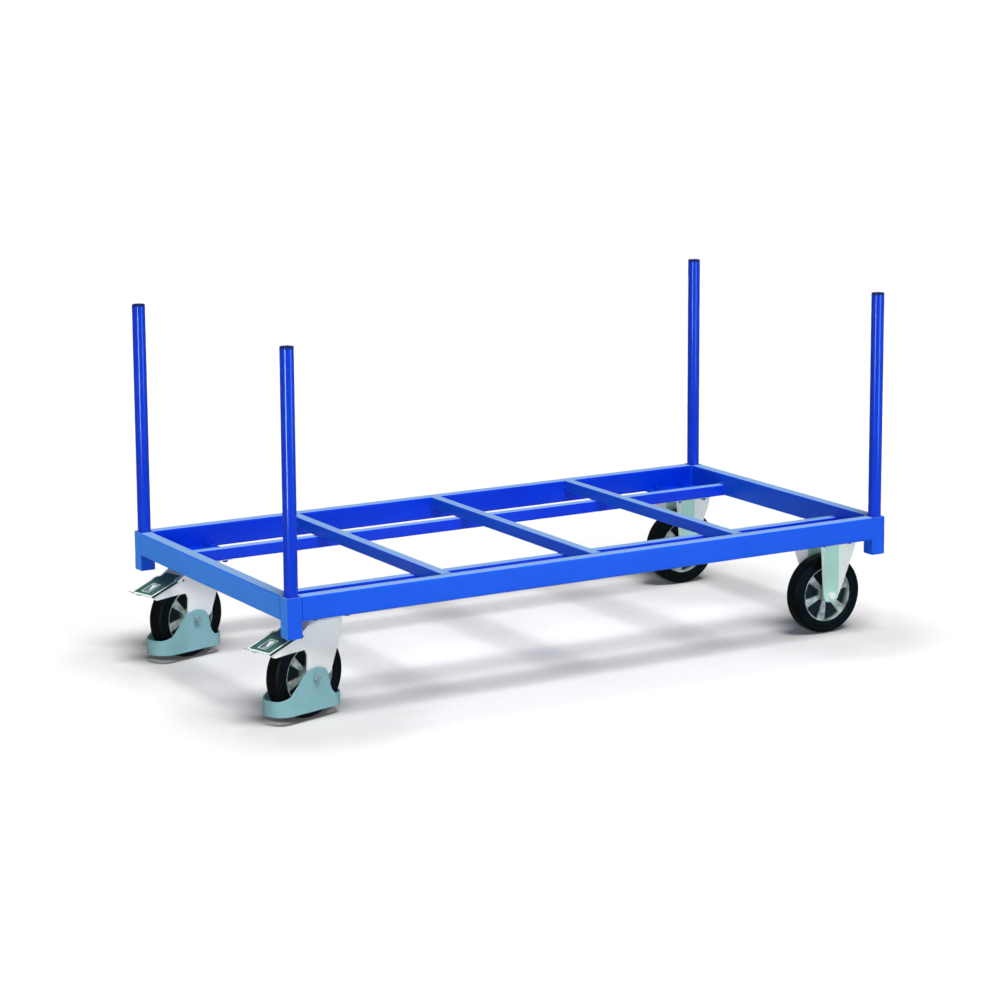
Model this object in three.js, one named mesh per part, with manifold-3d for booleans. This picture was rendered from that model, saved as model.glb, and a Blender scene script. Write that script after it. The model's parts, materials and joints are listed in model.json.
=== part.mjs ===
// Stake cart: a welded tube frame with four lift-out stakes, on two swivel casters
// with foot brakes and two fixed casters. Millimetres, +Z up. X runs along the cart
// from the swivel end (-X) to the fixed end (+X) and Y from the near side (-Y) to the
// far side (+Y). The origin is on the floor, under the middle of the overall length
// from the ends of the pedals to the fixed end of the frame.

import * as THREE from "three";
import { mergeVertices } from "three/addons/utils/BufferGeometryUtils.js";
import Module from "manifold-3d";

const wasm = await Module();
wasm.setup();

// Frame
const frameLength = 1660;
const frameWidth = 840;
const railHeight = 56.5;
const railSetback = 5.8; // how far the posts stand inside the rails' inner faces
const railWall = 3;
const railCorner = 4;
const crossSide = 28;
const crossWall = 2.5;
const crossCorner = 3;
const crossCount = 3;
const lowerBarWidth = 28;
const lowerBarWall = 2.5;
const lowerBarCorner = 3;
const lowerBarInset = 159.5; // from the frame's outer face to the bar's outer face
const mountPlateThickness = 6;
const mountPlateMargin = 12; // past the caster's top plate

// Posts and stakes
const stakeDiameter = 32;
const stakeWall = 2.5;
const stakeHeight = 557; // above the deck
const stakeClearance = 0.5; // all round, in the post
const postWall = 2.4;
const postCorner = 3;
const postFloor = 4;
const postAboveWheel = 6; // post bottoms over the tops of the wheels
const capHeight = 4;
const capChamfer = 1;
const capPlugDepth = 18;

// Wheels
const wheelDiameter = 200;
const tyreWidth = 44;
const tyreThickness = 30.5;
const tyreShoulder = 8;
const tyreBedInset = 3; // the tyre's inner face is narrower than the tread, each side
const rimBandThickness = 8;
const webThickness = 8;
const hubDiameter = 36;
const hubProud = 9.5; // hub end past the side of the tyre
const ribThickness = 6;
const ribInset = 6; // rib edge inside the rim band's edge
const ribCount = 6;

// Axles
const axleDiameter = 12;
const axleHeadHeight = 7;
const axleHeadWidth = 18;
const axleNutHeight = 10;
const axleTipProud = 3;

// All casters
const casterHeadroom = 44; // from the top of the wheel to the top of the caster
const casterSideInset = 100; // from the frame's outer face to the caster's middle
const topPlateLength = 110;
const topPlateWidth = 135;
const topPlateThickness = 6;
const topPlateCorner = 8;
const boltSpacingX = 80;
const boltSpacingY = 105;
const boltHoleDiameter = 9;
const forkThickness = 4;
const hubGap = 0.5; // between a hub end and the fork

// Fixed casters
const fixedAxleInset = 115; // from the frame's end to the wheel's middle
const fixedLegWidth = 44;
const fixedLegDrop = 17; // below the axle
const flangeWidth = 40; // bent edge at the top plate
const flangeFootWidth = 5;
const flangeAngle = 45; // degrees

// Swivel casters
const swivelInset = 132; // from the frame's end to the swivel axis
const swivelTrail = 52;
const swivelTurn = 15; // degrees, as the two casters stand
const crownThickness = 5;
const crownAhead = 34; // ahead of the swivel axis
const crownBehind = 59;
const headDiameter = 86;
const bearingHeight = 12;
const bearingBoreDiameter = 40;
const bearingBulge = 2;
const kingpinDiameter = 12;
const kingpinHeadDiameter = 24;
const kingpinHeadHeight = 6;
const axleEyeRadius = 23;
const axleEyeSweep = 144; // degrees, round under the axle

// Foot guards
const guardWall = 3;
const guardStandoff = 2.5; // from the fork's outer face
const guardGroundGap = 21.5;
const guardBandHeight = 36; // behind the wheel
const guardFrontHeight = 28.5; // ahead of the wheel
const guardFrontGap = 3; // to the tyre, at the band's top edge
const guardRearGap = 16;
const guardCorner = 38;
const guardBossDiameter = 28;

// Brake pedals
const pedalPivotBack = 34; // behind the axle
const pedalPivotDrop = 1; // below the top of the wheel
const pedalPinDiameter = 6;
const pedalPinProud = 1.5;
const pedalTilt = 18; // degrees, pressed down
const pedalRise = 8; // from the pivot to the plate
const pedalLength = 104;
const pedalThickness = 2.5;
const pedalOverhang = 3; // past the fork's outer face
const pedalFlangeHeight = 7;
const pedalNeckLength = 18.5; // from the pivot back to where the plate widens
const pedalNoseLength = 9; // from the pivot forward
const pedalEarRadius = 8;
const pedalEarThickness = 3;
const pedalSideGap = 0.6;
const pedalArmGap = 1; // plate to the fork's arms
const pedalLipLength = 18;
const pedalLipThickness = 2;
const pedalLipInset = 8; // each side
const pedalLipTurn = 38; // degrees, up from the plate
const pedalHoleLength = 26;
const pedalHoleWidth = 22;
const brakeShoeStart = 20; // behind the pivot
const brakeShoeLength = 14;
const brakeShoeDepth = 16; // below the pivot, before it is cut to the tyre
const brakeShoeWidth = 36;
const brakeShoeGap = 0.6;

// Gaps and overruns
const seatGap = 0.3; // between pieces that rest on or pass through each other
const cutOverrun = 1;
const joinOverlap = 1;

// How finely round forms are cut
const tyreSides = 36;
const shoulderSides = 2;
const rimSides = 24;
const stakeSides = 20;
const shaftSides = 12;
const cornerSides = 2;
const eyeSides = 6;
const hexSides = 6;

// Outlines as shares of the sizes that they follow.
// Front edge of the swivel fork: shares of the wheel's radius, from the axle.
const forkFrontShares = [[0.8, 0.85], [0.5, 0.03]];
const forkRearShares = [[-0.22, 0.05], [-0.2, 0.5]];
// Underside of the fork's arms: shares of the pedal's length, behind and above its pivot.
const forkArmShares = [[0.07, -0.3], [0.68, -0.14], [0.88, -0.08], [0.945, -0.01]];
const forkArmTopShares = [0.965, 0.12];
// Top edge of the foot guard: shares of the wheel's radius, from the axle.
const guardHillShares = [
  [-0.99, -0.42], [-0.76, -0.35], [-0.48, -0.07], [-0.34, 0.1], [-0.2, 0.185], [0.03, 0.22],
  [0.18, 0.205], [0.29, 0.14], [0.36, 0.02], [0.4, -0.19], [0.47, -0.38], [0.56, -0.5],
];

// Derived places
const halfLength = frameLength / 2;
const halfWidth = frameWidth / 2;
const wheelRadius = wheelDiameter / 2;
const casterHeight = wheelDiameter + casterHeadroom;
const railBottom = casterHeight;
const deckHeight = casterHeight + railHeight;
const postBore = stakeDiameter + 2 * stakeClearance;
const postSide = postBore + 2 * postWall;
const postBottom = wheelDiameter + postAboveWheel;
const railWidth = postSide - railSetback;
const railInnerX = halfLength - railWidth;
const railInnerY = halfWidth - railWidth;
const postInnerX = halfLength - postSide;
const postInnerY = halfWidth - postSide;
const postMiddleX = halfLength - postSide / 2;
const postMiddleY = halfWidth - postSide / 2;
const lowerBarHeight = railHeight - crossSide;
const lowerBarOuterY = halfWidth - lowerBarInset;
const casterY = halfWidth - casterSideInset;
const rimRadius = wheelRadius - tyreThickness;
const hubHalf = tyreWidth / 2 + hubProud;
const forkInner = hubHalf + hubGap;
const forkOuter = forkInner + forkThickness;
const plateBottom = casterHeight - topPlateThickness;
const crownTop = plateBottom - bearingHeight;
const crownBottom = crownTop - crownThickness;
const crownFront = swivelTrail + crownAhead;
const crownBack = swivelTrail - crownBehind;
const guardInner = forkOuter + guardStandoff;
const guardOuter = guardInner + guardWall;
const guardTop = guardGroundGap + guardBandHeight;
const guardFrontTop = guardGroundGap + guardFrontHeight;
const guardFront = wheelReach(guardFrontTop) + guardFrontGap + guardWall;
const guardRear = -wheelReach(guardTop) - guardRearGap - guardWall;
const pedalPivotHeight = wheelDiameter - pedalPivotDrop;
const pedalHalfWidth = forkOuter + pedalOverhang;

const ends = [{ name: "swivel", sign: -1 }, { name: "fixed", sign: 1 }];
const sides = [{ name: "near", sign: -1 }, { name: "far", sign: 1 }];

const radians = THREE.MathUtils.degToRad;

// How far the wheel reaches from its axle at a height above the floor.
function wheelReach(height) {
  return Math.sqrt(wheelRadius ** 2 - (wheelRadius - height) ** 2);
}

// Materials

const colors = {
  framePaint: 0x1c4de6,
  stakePaint: 0x1a46c8,
  capPlastic: 0x101216,
  zinc: 0xdfe6e4,
  guardPaint: 0x8cbcc6,
  rimPlastic: 0xc9d0cf,
  tyreRubber: 0x0b0f12,
  pedalZinc: 0x9db3ab,
};

function paint(color) {
  return new THREE.MeshStandardMaterial({ color, roughness: 0.35, metalness: 0.1 });
}

function metal(color) {
  return new THREE.MeshStandardMaterial({ color, roughness: 0.3, metalness: 0.9 });
}

function plastic(color) {
  return new THREE.MeshStandardMaterial({ color, roughness: 0.6, metalness: 0 });
}

// Joining and cutting

function solidOf(geometry) {
  const bare = geometry.clone();
  bare.deleteAttribute("normal");
  bare.deleteAttribute("uv");
  const merged = mergeVertices(bare);
  const vertProperties = merged.getAttribute("position").array;
  const triVerts = Uint32Array.from(merged.getIndex().array);
  return new wasm.Manifold(new wasm.Mesh({ numProp: 3, vertProperties, triVerts }));
}

function geometryOf(solid) {
  const mesh = solid.getMesh();
  const geometry = new THREE.BufferGeometry();
  geometry.setAttribute("position", new THREE.BufferAttribute(mesh.vertProperties, 3));
  geometry.setIndex(new THREE.BufferAttribute(mesh.triVerts, 1));
  geometry.computeVertexNormals();
  return geometry;
}

function joined(geometries) {
  return geometries.map(solidOf).reduce((whole, piece) => whole.add(piece));
}

function cut(solid, geometries) {
  return geometries.map(solidOf).reduce((whole, piece) => whole.subtract(piece), solid);
}

// Basic forms

// A radius whose flats, not its corners, lie at the given distance.
function acrossFlats(radius, sideCount) {
  return radius / Math.cos(Math.PI / sideCount);
}

function block(low, high) {
  const size = high.map((value, axis) => value - low[axis]);
  const middle = high.map((value, axis) => (value + low[axis]) / 2);
  return new THREE.BoxGeometry(...size).translate(...middle);
}

function roundedOutline(width, height, radius, target) {
  const right = width / 2;
  const top = height / 2;
  const corners = [[1, -1], [1, 1], [-1, 1], [-1, -1]];
  corners.forEach(([signX, signY], index) => {
    const start = (index - 1) * Math.PI / 2;
    const x = signX * (right - radius);
    const y = signY * (top - radius);
    if (index === 0) {
      target.moveTo(x + radius * Math.cos(start), y + radius * Math.sin(start));
    }
    target.absarc(x, y, radius, start, start + Math.PI / 2, false);
  });
  target.closePath();
  return target;
}

function tube(width, height, wall, corner, length) {
  const shape = roundedOutline(width, height, corner, new THREE.Shape());
  const innerCorner = Math.max(corner - wall, wall / 4);
  shape.holes.push(roundedOutline(width - 2 * wall, height - 2 * wall, innerCorner, new THREE.Path()));
  const geometry = new THREE.ExtrudeGeometry(shape, {
    depth: length, bevelEnabled: false, curveSegments: cornerSides,
  });
  return geometry.translate(0, 0, -length / 2);
}

function alongX(geometry) {
  return geometry.rotateY(Math.PI / 2);
}

function alongY(geometry) {
  return geometry.rotateX(-Math.PI / 2);
}

// A slab whose outline lies in the XZ plane, centred on the given Y.
function uprightSlab(shape, thickness, middleY, curveSegments = eyeSides) {
  const geometry = new THREE.ExtrudeGeometry(shape, {
    depth: thickness, bevelEnabled: false, curveSegments,
  });
  return geometry.translate(0, 0, -thickness / 2).rotateX(Math.PI / 2).translate(0, middleY, 0);
}

// A slab whose outline lies in the XY plane, from the given height up.
function flatSlab(shape, bottom, top, curveSegments = cornerSides) {
  const geometry = new THREE.ExtrudeGeometry(shape, {
    depth: top - bottom, bevelEnabled: false, curveSegments,
  });
  return geometry.translate(0, 0, bottom);
}

function outlineOf(points) {
  return new THREE.Shape(points.map(([x, y]) => new THREE.Vector2(x, y)));
}

// A solid turned round the Y axis from a closed profile of [radius, y] points.
function turned(profile, sideCount) {
  const points = [...profile, profile[0]].map(([radius, y]) => new THREE.Vector2(radius, y));
  return new THREE.LatheGeometry(points, sideCount, Math.PI / sideCount, 2 * Math.PI);
}

// A rod along Y between two places.
function rodY(radius, low, high, sideCount = shaftSides) {
  const geometry = new THREE.CylinderGeometry(radius, radius, high - low, sideCount);
  return geometry.translate(0, (low + high) / 2, 0);
}

// A rod along Z between two places.
function rodZ(radius, low, high, sideCount = shaftSides) {
  const geometry = new THREE.CylinderGeometry(radius, radius, high - low, sideCount);
  return geometry.rotateX(Math.PI / 2).translate(0, 0, (low + high) / 2);
}

function holeY(radius, reach) {
  return rodY(acrossFlats(radius, shaftSides), -reach, reach);
}

function named(name, geometry, material) {
  const mesh = new THREE.Mesh(geometry, material);
  mesh.name = name;
  return mesh;
}

function piece(name, solid, material) {
  return named(name, geometryOf(solid), material);
}

// Frame

function sideRail(side) {
  const length = 2 * postInnerX;
  const geometry = alongX(tube(railHeight, railWidth, railWall, railCorner, length));
  const mesh = piece(`side_rail_${side.name}`, solidOf(geometry), paint(colors.framePaint));
  mesh.position.set(0, side.sign * (halfWidth - railWidth / 2), deckHeight - railHeight / 2);
  return mesh;
}

function endRail(end) {
  const length = 2 * postInnerY;
  const geometry = alongY(tube(railWidth, railHeight, railWall, railCorner, length));
  const mesh = piece(`end_rail_${end.name}`, solidOf(geometry), paint(colors.framePaint));
  mesh.position.set(end.sign * (halfLength - railWidth / 2), 0, deckHeight - railHeight / 2);
  return mesh;
}

function cornerPost(end, side) {
  const outline = roundedOutline(postSide, postSide, postCorner, new THREE.Shape());
  const bore = roundedOutline(postBore, postBore, postWall / 4, new THREE.Shape());
  const body = solidOf(flatSlab(outline, postBottom, deckHeight));
  const solid = cut(body, [flatSlab(bore, postBottom + postFloor, deckHeight + cutOverrun)]);
  const mesh = piece(`post_${end.name}_${side.name}`, solid, paint(colors.framePaint));
  mesh.position.set(end.sign * postMiddleX, side.sign * postMiddleY, 0);
  return mesh;
}

function crossMember(index) {
  const bay = (2 * railInnerX - crossCount * crossSide) / (crossCount + 1);
  const middle = (index - (crossCount - 1) / 2) * (bay + crossSide);
  const geometry = alongY(tube(crossSide, crossSide, crossWall, crossCorner, 2 * railInnerY));
  const mesh = piece(`cross_member_${index + 1}`, solidOf(geometry), paint(colors.framePaint));
  mesh.position.set(middle, 0, deckHeight - crossSide / 2);
  return mesh;
}

function lowerBar(side) {
  const section = tube(lowerBarHeight, lowerBarWidth, lowerBarWall, lowerBarCorner, 2 * railInnerX);
  const mesh = piece(`lower_bar_${side.name}`, solidOf(alongX(section)), paint(colors.framePaint));
  mesh.position.set(0, side.sign * (lowerBarOuterY - lowerBarWidth / 2), railBottom + lowerBarHeight / 2);
  return mesh;
}

function casterMiddleX(end) {
  const inset = end.sign < 0 ? swivelInset : fixedAxleInset;
  return end.sign * (halfLength - inset);
}

// The caster's four bolt holes, round the middle of its top plate.
function boltHoles(low, high) {
  const radius = acrossFlats(boltHoleDiameter / 2, shaftSides);
  const places = [[-1, -1], [1, -1], [1, 1], [-1, 1]];
  return places.map(([signX, signY]) => {
    const hole = rodZ(radius, low - cutOverrun, high + cutOverrun);
    return hole.translate(signX * boltSpacingX / 2, signY * boltSpacingY / 2, 0);
  });
}

function mountPlate(end, side) {
  const outerX = end.sign * railInnerX;
  const innerX = casterMiddleX(end) - end.sign * (topPlateLength / 2 + mountPlateMargin);
  const outerY = side.sign * railInnerY;
  const innerY = side.sign * lowerBarOuterY;
  const top = railBottom + mountPlateThickness;
  const low = [Math.min(outerX, innerX), Math.min(outerY, innerY), railBottom];
  const high = [Math.max(outerX, innerX), Math.max(outerY, innerY), top];
  const reach = postSide / 2 + seatGap;
  const notch = block([-reach, -reach, railBottom - cutOverrun], [reach, reach, top + cutOverrun]);
  notch.translate(end.sign * postMiddleX, side.sign * postMiddleY, 0);
  const holes = boltHoles(railBottom, top);
  holes.forEach((hole) => hole.translate(casterMiddleX(end), side.sign * casterY, 0));
  const solid = cut(solidOf(block(low, high)), [notch, ...holes]);
  return piece(`mount_plate_${end.name}_${side.name}`, solid, paint(colors.framePaint));
}

// Stakes

function stake(end, side) {
  const radius = stakeDiameter / 2;
  const low = postBottom + postFloor;
  const high = deckHeight + stakeHeight;
  const profile = [[radius - stakeWall, low], [radius, low], [radius, high], [radius - stakeWall, high]];
  const geometry = turned(profile, stakeSides).rotateX(Math.PI / 2);
  const mesh = piece(`stake_${end.name}_${side.name}`, solidOf(geometry), paint(colors.stakePaint));
  mesh.position.set(end.sign * postMiddleX, side.sign * postMiddleY, 0);
  return mesh;
}

function stakeCap(end, side) {
  const radius = stakeDiameter / 2;
  const plugRadius = radius - stakeWall - seatGap;
  const seat = deckHeight + stakeHeight;
  const profile = [
    [0, seat - capPlugDepth], [plugRadius, seat - capPlugDepth], [plugRadius, seat],
    [radius, seat], [radius, seat + capHeight - capChamfer],
    [radius - capChamfer, seat + capHeight], [0, seat + capHeight],
  ];
  const geometry = turned(profile, stakeSides).rotateX(Math.PI / 2);
  const mesh = piece(`stake_cap_${end.name}_${side.name}`, solidOf(geometry), plastic(colors.capPlastic));
  mesh.position.set(end.sign * postMiddleX, side.sign * postMiddleY, 0);
  return mesh;
}

// Wheels, round their own axle along Y

function tyre(name) {
  const half = tyreWidth / 2;
  const bed = half - tyreBedInset;
  const innerRadius = rimRadius + seatGap;
  const profile = [
    [innerRadius, -bed], [innerRadius + tyreBedInset, -half], [wheelRadius - tyreShoulder, -half],
  ];
  for (let step = 1; step <= shoulderSides; step += 1) {
    const angle = (step / shoulderSides) * Math.PI / 2;
    const radius = wheelRadius - tyreShoulder + tyreShoulder * Math.sin(angle);
    profile.push([radius, -half + tyreShoulder - tyreShoulder * Math.cos(angle)]);
  }
  const mirrored = profile.map(([radius, y]) => [radius, -y]).reverse();
  const outline = [...profile, ...mirrored].map(([radius, y]) => [acrossFlats(radius, tyreSides), y]);
  return piece(name, solidOf(turned(outline, tyreSides)), plastic(colors.tyreRubber));
}

function rim(name) {
  const bandHalf = tyreWidth / 2 - tyreBedInset;
  const bandInner = rimRadius - rimBandThickness;
  const hubRadius = hubDiameter / 2;
  const boreRadius = acrossFlats(axleDiameter / 2 + seatGap, rimSides);
  const webHalf = webThickness / 2;
  const profile = [
    [boreRadius, -hubHalf], [hubRadius, -hubHalf], [hubRadius, -webHalf], [bandInner, -webHalf],
    [bandInner, -bandHalf], [rimRadius, -bandHalf],
  ];
  const mirrored = profile.map(([radius, y]) => [radius, -y]).reverse();
  const pieces = [turned([...profile, ...mirrored], rimSides)];
  const ribHalf = bandHalf - ribInset;
  for (let index = 0; index < ribCount; index += 1) {
    const low = [hubRadius - joinOverlap, -ribHalf, -ribThickness / 2];
    const high = [bandInner + joinOverlap, ribHalf, ribThickness / 2];
    pieces.push(block(low, high).rotateY((index / ribCount) * 2 * Math.PI));
  }
  return piece(name, joined(pieces), plastic(colors.rimPlastic));
}

function wheel(end, side) {
  const group = new THREE.Group();
  group.add(tyre(`tyre_${end.name}_${side.name}`), rim(`rim_${end.name}_${side.name}`));
  group.position.z = wheelRadius;
  return group;
}

// Axles: a hexagon head on the near side and a nut on the far side

function hexagon(width, low, high) {
  return rodY(acrossFlats(width / 2, hexSides), low, high, hexSides);
}

function axleBolt(name, seatHalf) {
  const seat = seatHalf + seatGap;
  const tip = seat + axleNutHeight + axleTipProud;
  const head = hexagon(axleHeadWidth, -seat - axleHeadHeight, -seat);
  const shank = rodY(axleDiameter / 2, -seat - joinOverlap, tip);
  const mesh = piece(name, joined([head, shank]), metal(colors.zinc));
  mesh.position.z = wheelRadius;
  return mesh;
}

function axleNut(name, seatHalf) {
  const seat = seatHalf + seatGap;
  const nut = solidOf(hexagon(axleHeadWidth, seat, seat + axleNutHeight));
  const bore = holeY(axleDiameter / 2 + seatGap, seat + axleNutHeight + cutOverrun);
  const mesh = piece(name, cut(nut, [bore]), metal(colors.zinc));
  mesh.position.z = wheelRadius;
  return mesh;
}

function topPlate() {
  const outline = roundedOutline(topPlateLength, topPlateWidth, topPlateCorner, new THREE.Shape());
  return flatSlab(outline, plateBottom, casterHeight);
}

// Fixed casters

function fixedLeg(sign) {
  const bendHalf = fixedLegWidth / 2 + forkThickness * Math.tan(radians(flangeAngle) / 2);
  const shape = new THREE.Shape();
  shape.moveTo(bendHalf, plateBottom + joinOverlap);
  shape.lineTo(-bendHalf, plateBottom + joinOverlap);
  shape.lineTo(-bendHalf, wheelRadius);
  shape.absellipse(0, wheelRadius, bendHalf, fixedLegDrop, Math.PI, 2 * Math.PI, false);
  shape.closePath();
  return uprightSlab(shape, forkThickness, sign * (forkInner + forkThickness / 2));
}

// One bent edge of a leg, from its bend line out to the corner of the top plate.
function fixedFlange(signX, signY) {
  const shape = outlineOf([
    [0, wheelRadius], [flangeFootWidth, wheelRadius],
    [flangeWidth, plateBottom], [flangeWidth, plateBottom + joinOverlap],
    [0, plateBottom + joinOverlap],
  ]);
  const edge = uprightSlab(shape, forkThickness, -forkThickness / 2);
  edge.rotateZ(radians(flangeAngle)).translate(fixedLegWidth / 2, forkOuter, 0);
  return solidOf(edge).scale([signX, signY, 1]);
}

function fixedFork(side) {
  const legs = sides.map(({ sign }) => fixedLeg(sign));
  const flanges = [[1, 1], [-1, 1], [1, -1], [-1, -1]].map(([x, y]) => fixedFlange(x, y));
  const body = flanges.reduce((whole, flange) => whole.add(flange), joined([topPlate(), ...legs]));
  const bore = holeY(axleDiameter / 2 + seatGap, forkOuter + cutOverrun).translate(0, 0, wheelRadius);
  const solid = cut(body, [bore, ...boltHoles(plateBottom, casterHeight)]);
  return piece(`fixed_fork_${side.name}`, solid, metal(colors.zinc));
}

function fixedCaster(end, side) {
  const group = new THREE.Group();
  group.add(
    fixedFork(side),
    axleBolt(`axle_bolt_fixed_${side.name}`, forkOuter),
    axleNut(`axle_nut_fixed_${side.name}`, forkOuter),
    wheel(end, side),
  );
  group.position.set(casterMiddleX(end), side.sign * casterY, 0);
  return group;
}

// Swivel casters: the top plate and the kingpin stay with the frame

function swivelTopPlate(side) {
  const radius = acrossFlats(kingpinDiameter / 2 + seatGap, shaftSides);
  const bore = rodZ(radius, plateBottom - cutOverrun, casterHeight + cutOverrun);
  const solid = cut(solidOf(topPlate()), [bore, ...boltHoles(plateBottom, casterHeight)]);
  return piece(`top_plate_swivel_${side.name}`, solid, metal(colors.zinc));
}

function kingpin(side) {
  const seat = crownBottom - seatGap;
  const shaft = rodZ(kingpinDiameter / 2, seat - joinOverlap, casterHeight);
  const head = rodZ(kingpinHeadDiameter / 2, seat - kingpinHeadHeight, seat);
  return piece(`kingpin_${side.name}`, joined([shaft, head]), metal(colors.zinc));
}

// Everything below turns with the fork. Its X runs from the wheel's axle towards the
// swivel axis, and the axle is at its origin.

function swivelBearing(side) {
  const low = crownTop + seatGap;
  const high = plateBottom - seatGap;
  const outer = headDiameter / 2;
  const inner = bearingBoreDiameter / 2;
  const middle = (low + high) / 2;
  const profile = [
    [inner, low], [outer - bearingBulge, low], [outer, middle], [outer - bearingBulge, high], [inner, high],
  ];
  const geometry = turned(profile, rimSides).rotateX(Math.PI / 2).translate(swivelTrail, 0, 0);
  return piece(`swivel_bearing_${side.name}`, solidOf(geometry), metal(colors.zinc));
}

// A place behind the pedal's pivot and above it, square to the pedal's plate.
function pedalPlace(behind, above) {
  const tilt = radians(pedalTilt);
  const x = -pedalPivotBack - behind * Math.cos(tilt) - above * Math.sin(tilt);
  const z = pedalPivotHeight - behind * Math.sin(tilt) + above * Math.cos(tilt);
  return [x, z];
}

function axlePlace([shareX, shareZ]) {
  return [shareX * wheelRadius, wheelRadius + shareZ * wheelRadius];
}

function forkOutline() {
  const armRise = pedalRise - pedalArmGap;
  const shape = new THREE.Shape();
  shape.moveTo(crownFront, crownTop);
  shape.lineTo(crownBack, crownTop);
  const [topRear, topFront] = forkArmTopShares;
  shape.lineTo(...pedalPlace(topFront * pedalLength, armRise));
  shape.lineTo(...pedalPlace(topRear * pedalLength, armRise));
  [...forkArmShares].reverse().forEach(([behind, above]) => {
    shape.lineTo(...pedalPlace(behind * pedalLength, above * pedalLength));
  });
  [...forkRearShares].reverse().forEach((share) => shape.lineTo(...axlePlace(share)));
  const eyeEnd = Math.PI + radians(axleEyeSweep);
  shape.absarc(0, wheelRadius, axleEyeRadius, Math.PI, eyeEnd, false);
  [...forkFrontShares].reverse().forEach((share) => shape.lineTo(...axlePlace(share)));
  shape.closePath();
  return shape;
}

function swivelFork(side) {
  const plates = sides.map(({ sign }) => (
    uprightSlab(forkOutline(), forkThickness, sign * (forkInner + forkThickness / 2))
  ));
  const halfSpan = forkInner + joinOverlap;
  const crown = block([crownBack, -halfSpan, crownBottom], [crownFront, halfSpan, crownTop]);
  const head = rodZ(headDiameter / 2, crownBottom, crownTop, rimSides).translate(swivelTrail, 0, 0);
  const axleBore = holeY(axleDiameter / 2 + seatGap, forkOuter + cutOverrun);
  axleBore.translate(0, 0, wheelRadius);
  const pinBore = holeY(pedalPinDiameter / 2 + seatGap, forkOuter + cutOverrun);
  pinBore.translate(-pedalPivotBack, 0, pedalPivotHeight);
  const kingRadius = acrossFlats(kingpinDiameter / 2 + seatGap, shaftSides);
  const kingBore = rodZ(kingRadius, crownBottom - cutOverrun, crownTop + cutOverrun);
  kingBore.translate(swivelTrail, 0, 0);
  const solid = cut(joined([crown, head, ...plates]), [axleBore, pinBore, kingBore]);
  return piece(`swivel_fork_${side.name}`, solid, metal(colors.zinc));
}

// The guard's side view: a low band with a hill up to the axle.
function guardSilhouette() {
  const shape = new THREE.Shape();
  shape.moveTo(guardRear - cutOverrun, guardGroundGap);
  shape.lineTo(guardFront + cutOverrun, guardGroundGap);
  shape.lineTo(guardFront + cutOverrun, guardFrontTop);
  [...guardHillShares].reverse().forEach((share) => shape.lineTo(...axlePlace(share)));
  shape.lineTo(guardRear - cutOverrun, guardTop);
  shape.closePath();
  return shape;
}

function footGuard(side) {
  const length = guardFront - guardRear;
  const top = wheelDiameter;
  const outline = roundedOutline(length, 2 * guardOuter, guardCorner, new THREE.Shape());
  const innerCorner = guardCorner - guardWall;
  const hollow = roundedOutline(
    length - 2 * guardWall, 2 * guardInner, innerCorner, new THREE.Path(),
  );
  outline.holes.push(hollow);
  const wall = flatSlab(outline, guardGroundGap - cutOverrun, top, eyeSides);
  wall.translate((guardFront + guardRear) / 2, 0, 0);
  const silhouette = uprightSlab(guardSilhouette(), 2 * guardOuter + cutOverrun, 0);
  const band = solidOf(wall).intersect(solidOf(silhouette));
  const bosses = sides.map(({ sign }) => {
    const low = Math.min(sign * (forkOuter + seatGap), sign * (guardInner + joinOverlap));
    const high = Math.max(sign * (forkOuter + seatGap), sign * (guardInner + joinOverlap));
    return rodY(guardBossDiameter / 2, low, high).translate(0, 0, wheelRadius);
  });
  const bore = holeY(axleDiameter / 2 + seatGap, guardOuter + cutOverrun).translate(0, 0, wheelRadius);
  const solid = cut(band.add(joined(bosses)), [bore]);
  return piece(`foot_guard_${side.name}`, solid, paint(colors.guardPaint));
}

function pedalPin(side) {
  const half = forkOuter + pedalPinProud;
  const rod = rodY(pedalPinDiameter / 2, -half, half);
  const mesh = piece(`pedal_pin_${side.name}`, solidOf(rod), metal(colors.zinc));
  mesh.position.set(-pedalPivotBack, 0, pedalPivotHeight);
  return mesh;
}

// The pedal round its pivot, with its plate level; -X runs back to the foot's end.

function pedalPlate() {
  const neckHalf = forkInner - pedalSideGap;
  const top = pedalRise + pedalThickness;
  const wide = block([-pedalLength, -pedalHalfWidth, pedalRise], [-pedalNeckLength, pedalHalfWidth, top]);
  const neck = block(
    [-pedalNeckLength - joinOverlap, -neckHalf, pedalRise], [pedalNoseLength, neckHalf, top],
  );
  const flanges = sides.map(({ sign }) => {
    const edges = [sign * pedalHalfWidth, sign * (pedalHalfWidth - pedalThickness)];
    const low = [-pedalLength, Math.min(...edges), pedalRise - pedalFlangeHeight];
    const high = [-pedalNeckLength, Math.max(...edges), pedalRise + joinOverlap];
    return block(low, high);
  });
  return [wide, neck, ...flanges];
}

function pedalLip() {
  const half = pedalHalfWidth - pedalLipInset;
  const lip = block([-pedalLipLength, -half, 0], [joinOverlap, half, pedalLipThickness]);
  return lip.rotateY(radians(pedalLipTurn)).translate(-pedalLength, 0, pedalRise);
}

function pedalEars() {
  const shape = new THREE.Shape();
  shape.moveTo(pedalEarRadius, pedalRise + joinOverlap);
  shape.lineTo(-pedalEarRadius, pedalRise + joinOverlap);
  shape.lineTo(-pedalEarRadius, 0);
  shape.absarc(0, 0, pedalEarRadius, Math.PI, 2 * Math.PI, false);
  shape.closePath();
  const middle = forkInner - pedalSideGap - pedalEarThickness / 2;
  return sides.map(({ sign }) => uprightSlab(shape, pedalEarThickness, sign * middle));
}

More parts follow.
